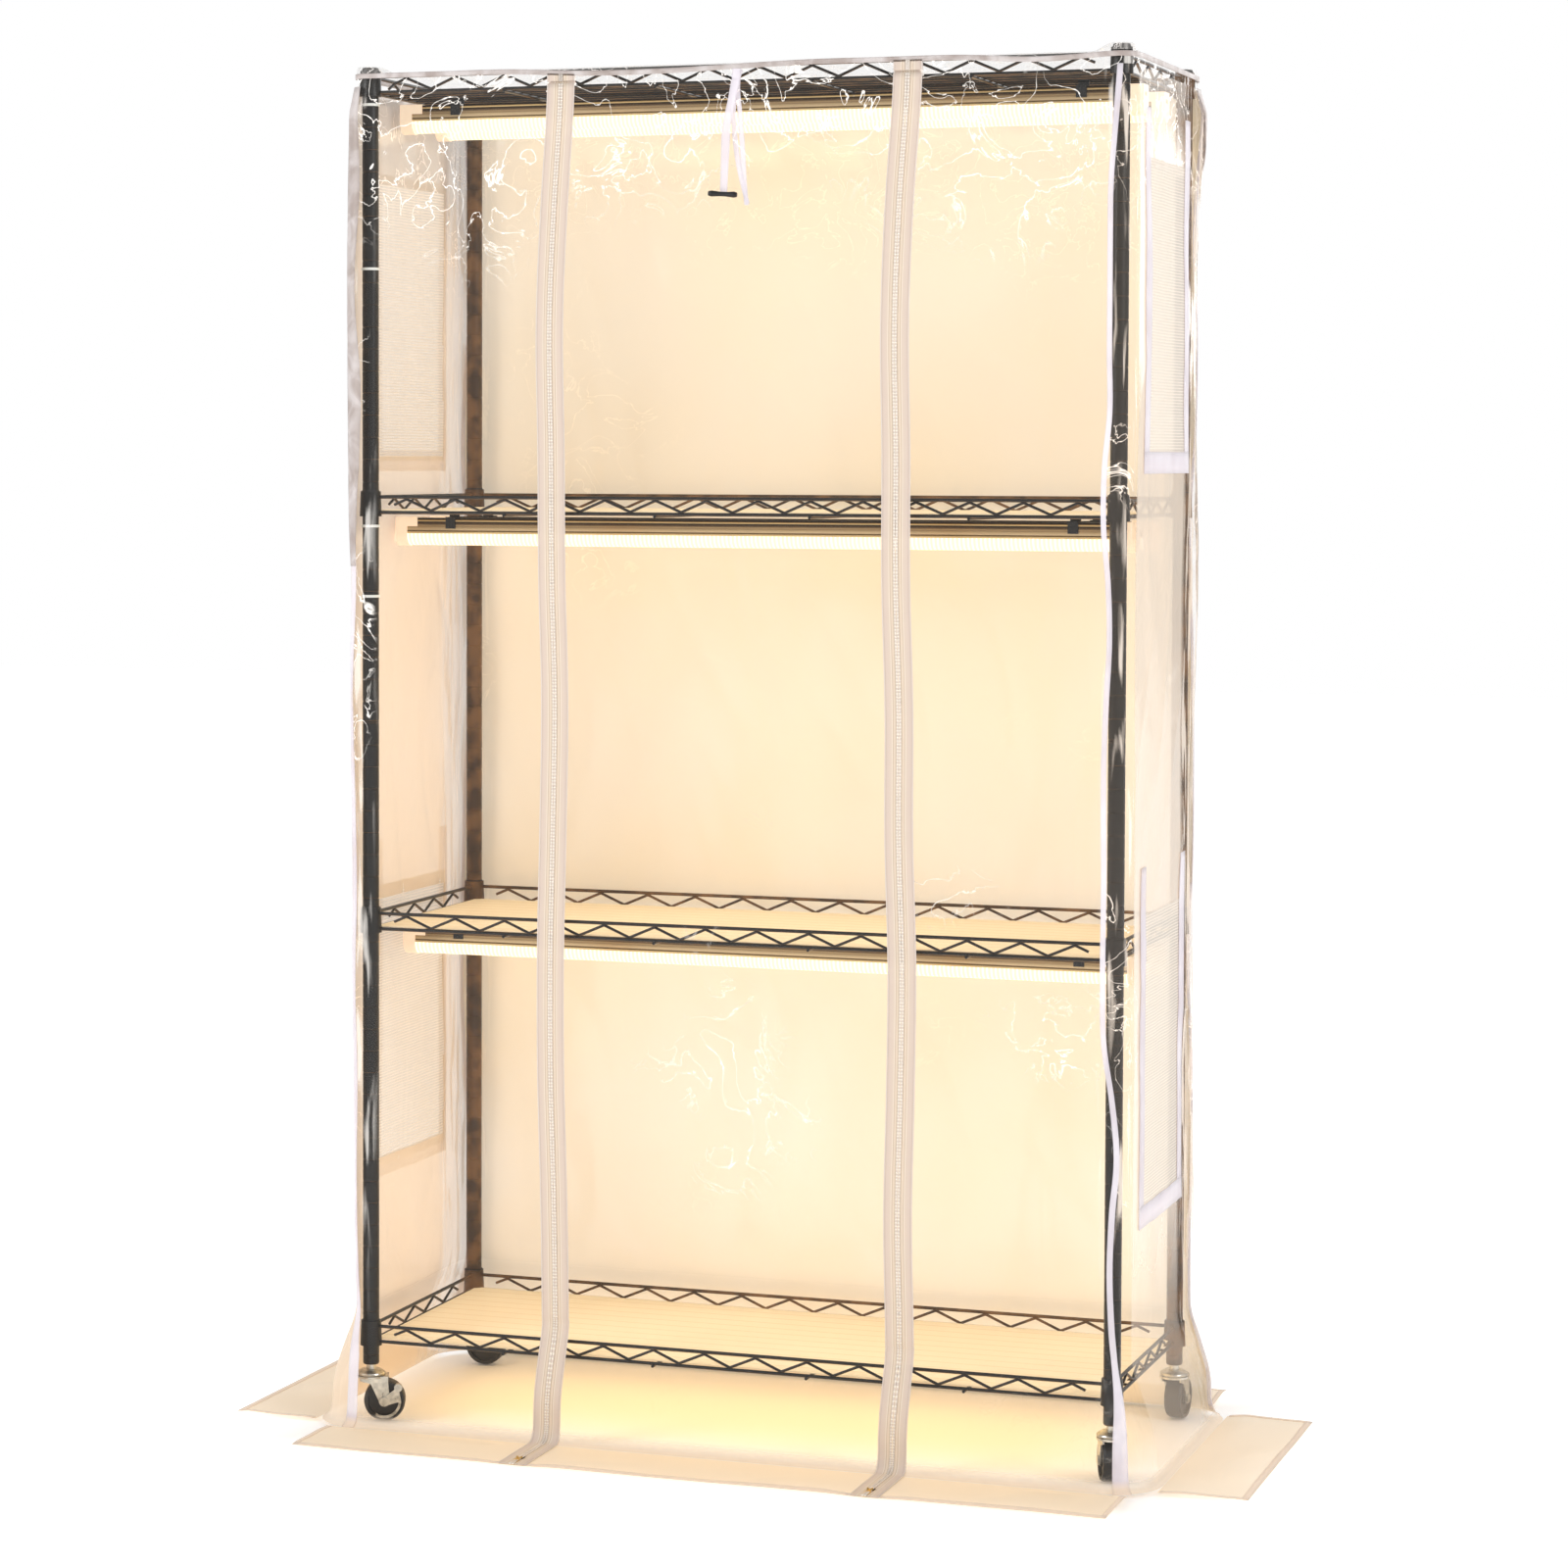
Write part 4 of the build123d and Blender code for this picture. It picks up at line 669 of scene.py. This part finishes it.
def roof_place(u, v):
    """Up from the seam to the rods, slack inside them, raised over the caps, round at the corners."""
    x = (2 * u - 1) * (WALL_X + ROOF_LIP)
    y = (2 * v - 1) * (WALL_Y + ROOF_LIP)
    inset = min(WALL_X - abs(x), WALL_Y - abs(y))
    rise = min(max(inset / ROOF_RIM, 0), 1)
    edge = SEAM_TOP - seam_sag(x, y)
    z = edge + (ROOF_TOP - edge) * math.sin(rise * math.pi / 2)
    inner_x, inner_y = max(0.0, INNER_X - abs(x)) / INNER_X, max(0.0, INNER_Y - abs(y)) / INNER_Y
    slack = min(inner_x * 8, 1) * min(inner_y * 2.2, 1)
    z -= slack * (0.004 + 0.002 * noise.noise(Vector((x * 7, y * 9, 3.3))))
    z += crease(x, y * 3, 8.0, 0.0012) * rise * 0.5
    from_post = math.hypot(abs(x) - POST_X, abs(y) - POST_Y)
    lift = min(max((CAP_R + CAP_DRAPE - from_post) / CAP_DRAPE, 0), 1)
    lift = lift * lift * (3 - 2 * lift)
    z = z * (1 - lift) + CAP_TOP * lift
    past_x, past_y = abs(x) - (WALL_X - CORNER_R), abs(y) - (WALL_Y - CORNER_R)
    corner = math.hypot(max(past_x, 0), max(past_y, 0))
    if corner > CORNER_R:
        x = math.copysign(WALL_X - CORNER_R + past_x * CORNER_R / corner, x)
        y = math.copysign(WALL_Y - CORNER_R + past_y * CORNER_R / corner, y)
        z = min(z, ROOF_TOP)
    return x, y, z


roof = sheet_piece("film_roof_top", 230, 96, roof_place, film_roof)
stand_in(roof, "stand", "film", "cover_roof")

# Flaps: the film's lower ends turned out flat on the floor, drawn cream with a weak glow as painted lamp
# light.
CELLS_PER_METRE, FLAP_LIFT, RIPPLE = 90, 0.0028, 0.0035
FLAT_BY_ZIP, ZIP_BAND = 0.018, 0.03
foot = {"left": zip_at("zip_left", FLARE_TOP), "right": zip_at("zip_right", FLARE_TOP)}


def flap_height(side, run, out):
    """How high a flap's film lies over the floor: nearly flat, with a few low ripples, but none
    under the zips."""
    seed = {"front": 1.0, "right": 2.0, "rear": 3.0, "left": 4.0}[side]
    ripple = max(RIPPLE * (0.45 + noise.noise(Vector((run * 9, out * 12, seed)))), 0)
    if side == "front":
        from_zip = min(abs(run - x) for x in foot.values())
        ripple *= min(max(from_zip - FLAT_BY_ZIP, 0) / ZIP_BAND, 1)
    ripple *= min(max(out - FLARE_OUT, 0) / 0.025, 1) * min(max(HEM - out, 0) / 0.02 + 0.3, 1)
    return FLAP_LIFT + ripple


def on_side(side, run, out, z):
    """A place given along one side and out from its wall."""
    if side == "front":
        return run, -(WALL_Y + out), z
    if side == "rear":
        return -run, WALL_Y + out, z
    if side == "right":
        return WALL_X + out, run, z
    return -(WALL_X + out), -run, z


def flap_piece(name, side, low, high, material, across, along, start=FLARE_OUT, lift=0.0, thickness=0.0):
    """A piece on a flap between two places along its side, from start out to the hem's edge."""
    def place(u, v):
        run, out = low + (high - low) * u, start + (HEM - start) * v
        return on_side(side, run, out, flap_height(side, run, out) + lift)
    return sheet_piece(name, across, along, place, material, thickness)


LAP_X, LAP_Y = WALL_X + SIDE_LAP, WALL_Y + SIDE_LAP
for name, side, low, high, body, node in (
    ("flap_front_left", "front", -LAP_X, foot["left"] - ZIP_GAP, "stand", "skirt_front"),
    ("flap_door", "front", foot["left"] + ZIP_GAP, foot["right"] - ZIP_GAP, "door", "door_skirt"),
    ("flap_front_right", "front", foot["right"] + ZIP_GAP, LAP_X, "stand", "skirt_front"),
    ("flap_right", "right", -LAP_Y, LAP_Y, "stand", "skirt_right"),
    ("flap_rear", "rear", -LAP_X, LAP_X, "stand", "skirt_rear"),
    ("flap_left", "left", -LAP_Y, LAP_Y, "stand", "skirt_left"),
):
    flap = flap_piece(name, side, low, high, film_skirt, round((high - low) * CELLS_PER_METRE), 14)
    stand_in(flap, body, "film", node)

# Bindings: white woven tape, a little lilac, folded round the seams, the corners and the hems and
# sewn down. It wanders with the film. Its weak emission is a painted glow, and where it lies on the
# floor it is drawn cream, painted lamp light.
woven_tape, surface = new_material(
    "woven_polyester_tape_white", Base_Color=linear("EEE8F0"), Roughness=0.7, Alpha=0.64, Sheen_Weight=0.3,
    Emission_Color=linear("F0EAF2"), Emission_Strength=0.10,
)
place = add_node(woven_tape, "TexCoord", output="Object")
weave = add_node(woven_tape, "TexNoise", place, Scale=900.0, Detail=1.0)
plug(add_node(woven_tape, "Bump", Height=weave, Strength=0.3, Distance=0.0003), surface, "Normal")
height = add_node(woven_tape, "SeparateXYZ", place, output="Z")
off_floor = add_node(woven_tape, "MapRange", height, 0.004, 0.02)
patchy = add_node(woven_tape, "TexNoise", place, Scale=14.0)
# Random stains, turning to the painted cream of lamp light where the tape lies on the floor.
stain_and_painted_floor_light = add_node(woven_tape, "Math", patchy, off_floor, operation="MULTIPLY")
tones = add_node(woven_tape, "ValToRGB", stain_and_painted_floor_light, stops=(
    (0.1, PAINTED_LAMP_CREAM), (0.35, "E4DCE4"), (0.65, "F5F1F8"),
))
plug(tones, surface, "Base Color")

# Folded hems: the same film doubled over, greyer, on the top band and where spare film hangs.
folded_hem, surface = new_material(
    "pvc_hem_folded_grey", Base_Color=linear("C6B8B0"), Roughness=0.4, Alpha=0.8, Specular_IOR_Level=0.4
)
place = add_node(folded_hem, "TexCoord", output="Object")
doubled = add_node(folded_hem, "TexNoise", place, Scale=30.0, Detail=3.0, Distortion=1.0)
tones = add_node(folded_hem, "ValToRGB", doubled, stops=((0.35, "BCAEA8"), (0.65, "E2DAD8")))
plug(tones, surface, "Base Color")


BAND_LIFT, COLLAR_LIFT, FOLD_LIFT, COLLAR_LAP, BAND_LAP = 0.0010, 0.0002, 0.0022, 0.001, 0.002


def top_band(u, v):
    """The band round the cover along the top seam."""
    x, y = round_stand(u * ROUND, BAND_LIFT)
    return x, y, BAND_FOOT + (SEAM_TOP - BAND_FOOT) * v - seam_sag(x, y)


def collar(u, v):
    """The film between the walls' upper edge and the top band."""
    x, y = round_stand(u * ROUND, COLLAR_LIFT)
    return x, y, WALL_TOP + (BAND_FOOT + COLLAR_LAP - seam_sag(x, y) - WALL_TOP) * v


def binding(corner):
    """The place function of the tape down a corner."""
    width = 0.0095 if corner == "rear_left" else 0.006

    def place(u, v):
        out, z = wall_path(v)
        x, y = round_stand(seam_at(corner, z) + (u - 0.5) * width, out + slack_at(corner, z) + BAND_LIFT)
        return x, y, z
    return place


def by_corner(corner, drop, width_at):
    """The place function of spare film that hangs down a corner from the top seam."""
    def place(u, v):
        z = WALL_TOP - drop * v
        distance = seam_at(corner, z) + (u - 0.5) * width_at(v)
        x, y = round_stand(distance, slack_at(corner, z) + FOLD_LIFT)
        return x, y, z
    return place


def joined(name, pieces):
    """Several pieces made one."""
    bpy.ops.object.select_all(action="DESELECT")
    for piece in pieces:
        piece.select_set(True)
    bpy.context.view_layer.objects.active = pieces[0]
    bpy.ops.object.join()
    bpy.context.object.name = name
    return bpy.context.object


film_collar = sheet_piece("film_collar", 420, 2, collar, film_front)
stand_in(film_collar, "stand", "film", "cover_roof")
trims = [sheet_piece("band_top", 420, 3, top_band, folded_hem, 0.0008)]
for corner in CORNERS:
    trims.append(sheet_piece("binding_" + corner, 4, 170, binding(corner), woven_tape, 0.0009))

# A broad fold runs down the upper part of the front left corner and narrows at its foot, and
# the cover's spare film hangs in a hood from the rear right one.
FOLD_W, NARROWS_AT = 0.0175, 0.8
fold = by_corner("front_left", 0.55, lambda v: FOLD_W - 0.0575 * max(v - NARROWS_AT, 0))
trims.append(sheet_piece("fold_front_left", 4, 60, fold, folded_hem, 0.0006))
hood = by_corner("rear_right", 0.105, lambda v: 0.062 - 0.056 * v)
trims.append(sheet_piece("hood_rear_right", 16, 16, hood, folded_hem, 0.0006))

HEM_W, END_W, END_START, TAPE_T = 0.008, 0.006, 0.044, 0.0006
for name, side, low, high in (
    ("hem_front_left", "front", -LAP_X, foot["left"] - TAPE_HALF),
    ("hem_front_right", "front", foot["right"] + TAPE_HALF, LAP_X),
    ("hem_right", "right", -LAP_Y, LAP_Y),
    ("hem_rear", "rear", -LAP_X, LAP_X),
    ("hem_left", "left", -LAP_Y, LAP_Y),
):
    cells = round((high - low) * CELLS_PER_METRE)
    strip = [flap_piece(name, side, low, high, woven_tape, cells, 2, HEM - HEM_W, TAPE_T, TAPE_T)]
    ends = [(low, low + END_W)] if name != "hem_front_right" else []
    ends += [(high - END_W, high)] if name != "hem_front_left" else []
    for start, end in ends:
        strip.append(flap_piece("end", side, start, end, woven_tape, 2, 12, END_START, TAPE_T, TAPE_T))
    trims.append(joined(name, strip))
low, high = foot["left"] + TAPE_HALF, foot["right"] - TAPE_HALF
door_hem = flap_piece("hem_door", "front", low, high, woven_tape, 36, 2, HEM - HEM_W, TAPE_T, TAPE_T)
stand_in(door_hem, "door", "binding", "door_binding")

# Windows: white polyester mesh sewn into each side, framed by white tape that runs on above it.
MESH_PITCH = 0.0034  # the real mesh is about 1.5 mm, drawn coarser so that it shows
mesh_cloth, surface = new_material("woven_polyester_mesh_white", Base_Color=linear("F0E6DA"), Roughness=0.75)
place = add_node(mesh_cloth, "TexCoord", output="Object")
threads = []
for axis in ("Y", "Z"):
    across = add_node(mesh_cloth, "SeparateXYZ", place, output=axis)
    phase = add_node(mesh_cloth, "Math", across, 2 * math.pi / MESH_PITCH, operation="MULTIPLY")
    threads.append(add_node(mesh_cloth, "Math", phase, operation="SINE"))
thread = add_node(mesh_cloth, "Math", *threads, operation="MAXIMUM")
plug(add_node(mesh_cloth, "MapRange", thread, 0.1, 0.6, 0.6, 0.97), surface, "Alpha")
plug(add_node(mesh_cloth, "Bump", Height=thread, Strength=0.4, Distance=0.0004), surface, "Normal")

SIDE_MIDDLES = {"film_right": (HALF_FRONT + HALF_SIDE, 1), "film_left": (3 * HALF_FRONT + 3 * HALF_SIDE, -1)}


def side_strip(name, wall, low_y, high_y, low_z, high_z, material, across, along, lift, thickness):
    """A patch on a side wall that follows its film, lift metres off it."""
    middle, way = SIDE_MIDDLES[wall]

    def place(u, v):
        y, z = low_y + (high_y - low_y) * u, low_z + (high_z - low_z) * v
        distance = middle + way * y
        x, y = round_stand(distance, film_out(wall, distance, z) + lift)
        return x, y, z
    return sheet_piece(name, across, along, place, material, thickness)


MESH_SPARE, TAPE_LIFT = 0.004, 0.0012
meshes = []
for wall in SIDE_MIDDLES:
    for low in WINDOW_BOTTOMS:
        half = WINDOW_HALF - WINDOW_TAPE / 2 + MESH_SPARE
        foot_z, head_z = low + WINDOW_TAPE / 2, low + WINDOW_H - WINDOW_PELMET + WINDOW_TAPE / 2
        meshes.append(side_strip("mesh", wall, -half, half, foot_z, head_z, mesh_cloth, 20, 36, 0.0002, 0))
        sill, head = low + WINDOW_TAPE, low + WINDOW_H
        for low_y, high_y, low_z, high_z, across, along in (
            (-WINDOW_HALF, WINDOW_HALF, low, sill, 24, 3),
            (-WINDOW_HALF, WINDOW_TAPE - WINDOW_HALF, sill, head, 3, 40),
            (WINDOW_HALF - WINDOW_TAPE, WINDOW_HALF, sill, head, 3, 40),
        ):
            patch = (low_y, high_y, low_z, high_z, woven_tape, across, along, TAPE_LIFT, TAPE_T)
            trims.append(side_strip("window_tape", wall, *patch))
window_mesh = joined("window_mesh", meshes)
stand_in(window_mesh, "stand", "mesh", "window_meshes")
stand_in(joined("cover_tapes", trims), "stand", "binding", "cover_binding")

# Zips: woven tape with a moulded coil down the middle, sewn between the walls and the door and
# on over the floor to the hem. The line of stitching and the coil stand out from the tape.
zip_tape, surface = new_material(
    "zip_tape_polyester", Base_Color=linear("E8D8C8"), Roughness=0.6, Alpha=0.84, Sheen_Weight=0.15
)
lie = add_node(zip_tape, "TexCoord", output="UV")
side_way = add_node(zip_tape, "SeparateXYZ", lie, output="X")
stripes = add_node(zip_tape, "ValToRGB", side_way, stops=(
    (0.0, "F9EBDA"), (0.14, "F9EBDA"), (0.18, "D5BFA5"), (0.24, "F1E0CD"), (0.34, "EFDDC9"),
    (0.38, "D1B99E"), (0.44, "F9EDDE"), (0.50, "E8D6C5"), (0.80, "E4D2C5"), (0.90, "D8C4B6"),
    (0.95, "F1E3D8"), (1.0, "F1E7E2"),
))
plug(stripes, surface, "Base Color")
place = add_node(zip_tape, "TexCoord", output="Object")
weave = add_node(zip_tape, "TexNoise", place, Scale=900.0, Detail=1.0)
raised = add_node(zip_tape, "Math", weave, stripes, operation="ADD")
plug(add_node(zip_tape, "Bump", Height=raised, Strength=0.35, Distance=0.0005), surface, "Normal")

COIL_PITCH, ZIP_LENGTH = 0.0036, 1.66  # the real coil's turns are 1.2 mm apart, drawn coarser to show
zip_coil, surface = new_material("zip_coil_nylon", Base_Color=linear("F7F2F5"), Roughness=0.35, Alpha=0.97)
lie = add_node(zip_coil, "TexCoord", output="UV")
lengthways = add_node(zip_coil, "SeparateXYZ", lie, output="Y")
phase = add_node(
    zip_coil, "Math", lengthways, 2 * math.pi * ZIP_LENGTH / COIL_PITCH, operation="MULTIPLY"
)
turns = add_node(zip_coil, "Math", phase, operation="SINE")
tones = add_node(zip_coil, "ValToRGB", turns, stops=((0.0, "EADCD0"), (0.6, "FFF6EA")))
plug(tones, surface, "Base Color")
plug(add_node(zip_coil, "Bump", Height=turns, Strength=0.6, Distance=0.0006), surface, "Normal")

# A zip's length is shared between the wall, the bend of the flare and the floor. Its lift turns
# from outward to upward over SLOPE_BAND, below SLOPE_TOP.
WALL_SHARE, BEND_SHARE = 0.82, 0.09
SLOPE_TOP, SLOPE_BAND = 0.06, 0.05


def zip_strip(name, side, way, near, far, lift, material, thickness, across):
    """Part of a zip's half: way is -1 on its left and 1 on its right, near and far in metres."""
    def place(u, v):
        offset = way * (near + (far - near) * u)
        if v < WALL_SHARE:
            top = DOOR_TOP - ZIP_GAP
            z = top + (FLARE_TOP - top) * v / WALL_SHARE
            x, out = zip_at("zip_" + side, z) + offset, seam_sway(z)
        elif v < WALL_SHARE + BEND_SHARE:
            out, z = smooth_through(FLARE, (v - WALL_SHARE) / BEND_SHARE)
            x = foot[side] + offset
        else:
            past_bend = (v - WALL_SHARE - BEND_SHARE) / (1 - WALL_SHARE - BEND_SHARE)
            out, x = FLARE_OUT + (HEM - FLARE_OUT) * past_bend, foot[side] + offset
            z = flap_height("front", x, out)
        slope = min(1, max(SLOPE_TOP - z, 0) / SLOPE_BAND)
        return x, -(WALL_Y + out + lift * (1 - slope)), z + lift * slope
    return sheet_piece(name, across, 260, place, material, thickness)


def zip_head(side, way, far, lift, material, thickness, across, low=0.0023):
    """The top of a zip's half, from low over the door's hinge line up to the band."""
    def place(u, v):
        x = zip_at("zip_" + side, DOOR_TOP) + way * far * u
        top = BAND_FOOT + BAND_LAP - seam_sag(x, -WALL_Y)
        return x, -(WALL_Y + lift), DOOR_TOP + low + (top - DOOR_TOP - low) * v
    return sheet_piece("head", across, 4, place, material, thickness)


COIL_HALF, COIL_LIFT, COIL_T, ZIP_LIFT, BACKING_LIFT = 0.0026, 0.0018, 0.0010, 0.0011, -0.0012
for body, node, turn in (("stand", "zip_tapes_cover", 1), ("door", "zip_tapes_door", -1)):
    halves = []
    for side, way in (("left", -turn), ("right", turn)):
        halves.append(zip_strip("tape", side, way, 0.0004, TAPE_HALF, ZIP_LIFT, zip_tape, TAPE_T, 6))
        halves.append(zip_strip("coil", side, way, 0.0003, COIL_HALF, COIL_LIFT, zip_coil, COIL_T, 2))
        if body == "stand":
            for half in (-1, 1):
                halves.append(zip_head(side, half, TAPE_HALF, ZIP_LIFT, zip_tape, TAPE_T, 6))
                halves.append(zip_head(side, half, COIL_HALF, COIL_LIFT, zip_coil, COIL_T, 2))
                halves.append(zip_head(side, half, TAPE_HALF, BACKING_LIFT, zip_tape, TAPE_T, 6, -0.003))
    stand_in(joined(node.replace("zip_tapes", "zips_on"), halves), body, "binding", node)

# Sliders and their tabs: die-cast zinc, plated pale gold and polished by handling.
plated_zinc, surface = new_material(
    "plated_die_casting_gold", Base_Color=linear("CDAE6B"), Metallic=1.0, Roughness=0.25
)
place = add_node(plated_zinc, "TexCoord", output="Object")
rub = add_node(plated_zinc, "TexNoise", place, Scale=500.0, Detail=3.0)
plug(add_node(plated_zinc, "MapRange", rub, 0.0, 1.0, 0.16, 0.42), surface, "Roughness")
dress(plated_zinc, "zip_slider", "zip_pull")

# Tie: a white ribbon, for the black toggle, that hangs outside from the top seam, and a narrow
# ribbon loop inside that the toggle is put through when the door is rolled up.
TIE_LINE = [(0.008, 1.5415), (0.004, 1.520), (-0.002, 1.490), (-0.004, 1.455), (-0.006, 1.413)]
LOOP_LINES = (
    [(0.010, 1.552), (0.009, 1.530), (0.012, 1.500), (0.015, 1.460), (0.017, 1.430), (0.020, 1.402)],
    [(0.012, 1.552), (0.006, 1.528), (0.004, 1.500), (0.008, 1.460), (0.014, 1.430), (0.021, 1.404)],
)
TIE_TAB = [(0.009, 1.553), (0.0085, 1.549), (0.008, 1.545), (0.008, 1.5405)]
RIBBON_W, LOOP_W = 0.010, 0.006
OUTSIDE, INSIDE = WALL_Y + 0.0016, WALL_Y - 0.0015


def ribbon_piece(name, line, width, depth, belly, thickness=0.0007):
    """A ribbon along a line of x and z points, a little twisted, belly metres out at mid-length."""
    def place(u, v):
        x, z = smooth_through(line, v)
        turn = 0.5 * math.sin(v * 5)
        aside = (u - 0.5) * width
        y = -depth - belly * math.sin(v * math.pi) + 0.15 * aside * math.sin(turn)
        return x + aside * math.cos(turn), y, z
    return sheet_piece(name, 4, 40, place, woven_tape, thickness)


stand_in(ribbon_piece("tie_ribbon", TIE_LINE, RIBBON_W, OUTSIDE, 0.002), "tie", "binding", "tie_strap")
ribbons = [ribbon_piece("loop", line, LOOP_W, INSIDE, -0.001) for line in LOOP_LINES]
ribbons.append(ribbon_piece("tab", TIE_TAB, RIBBON_W, OUTSIDE, 0.0))
stand_in(joined("tie_loop_ribbon", ribbons), "stand", "binding", "tie_loop")
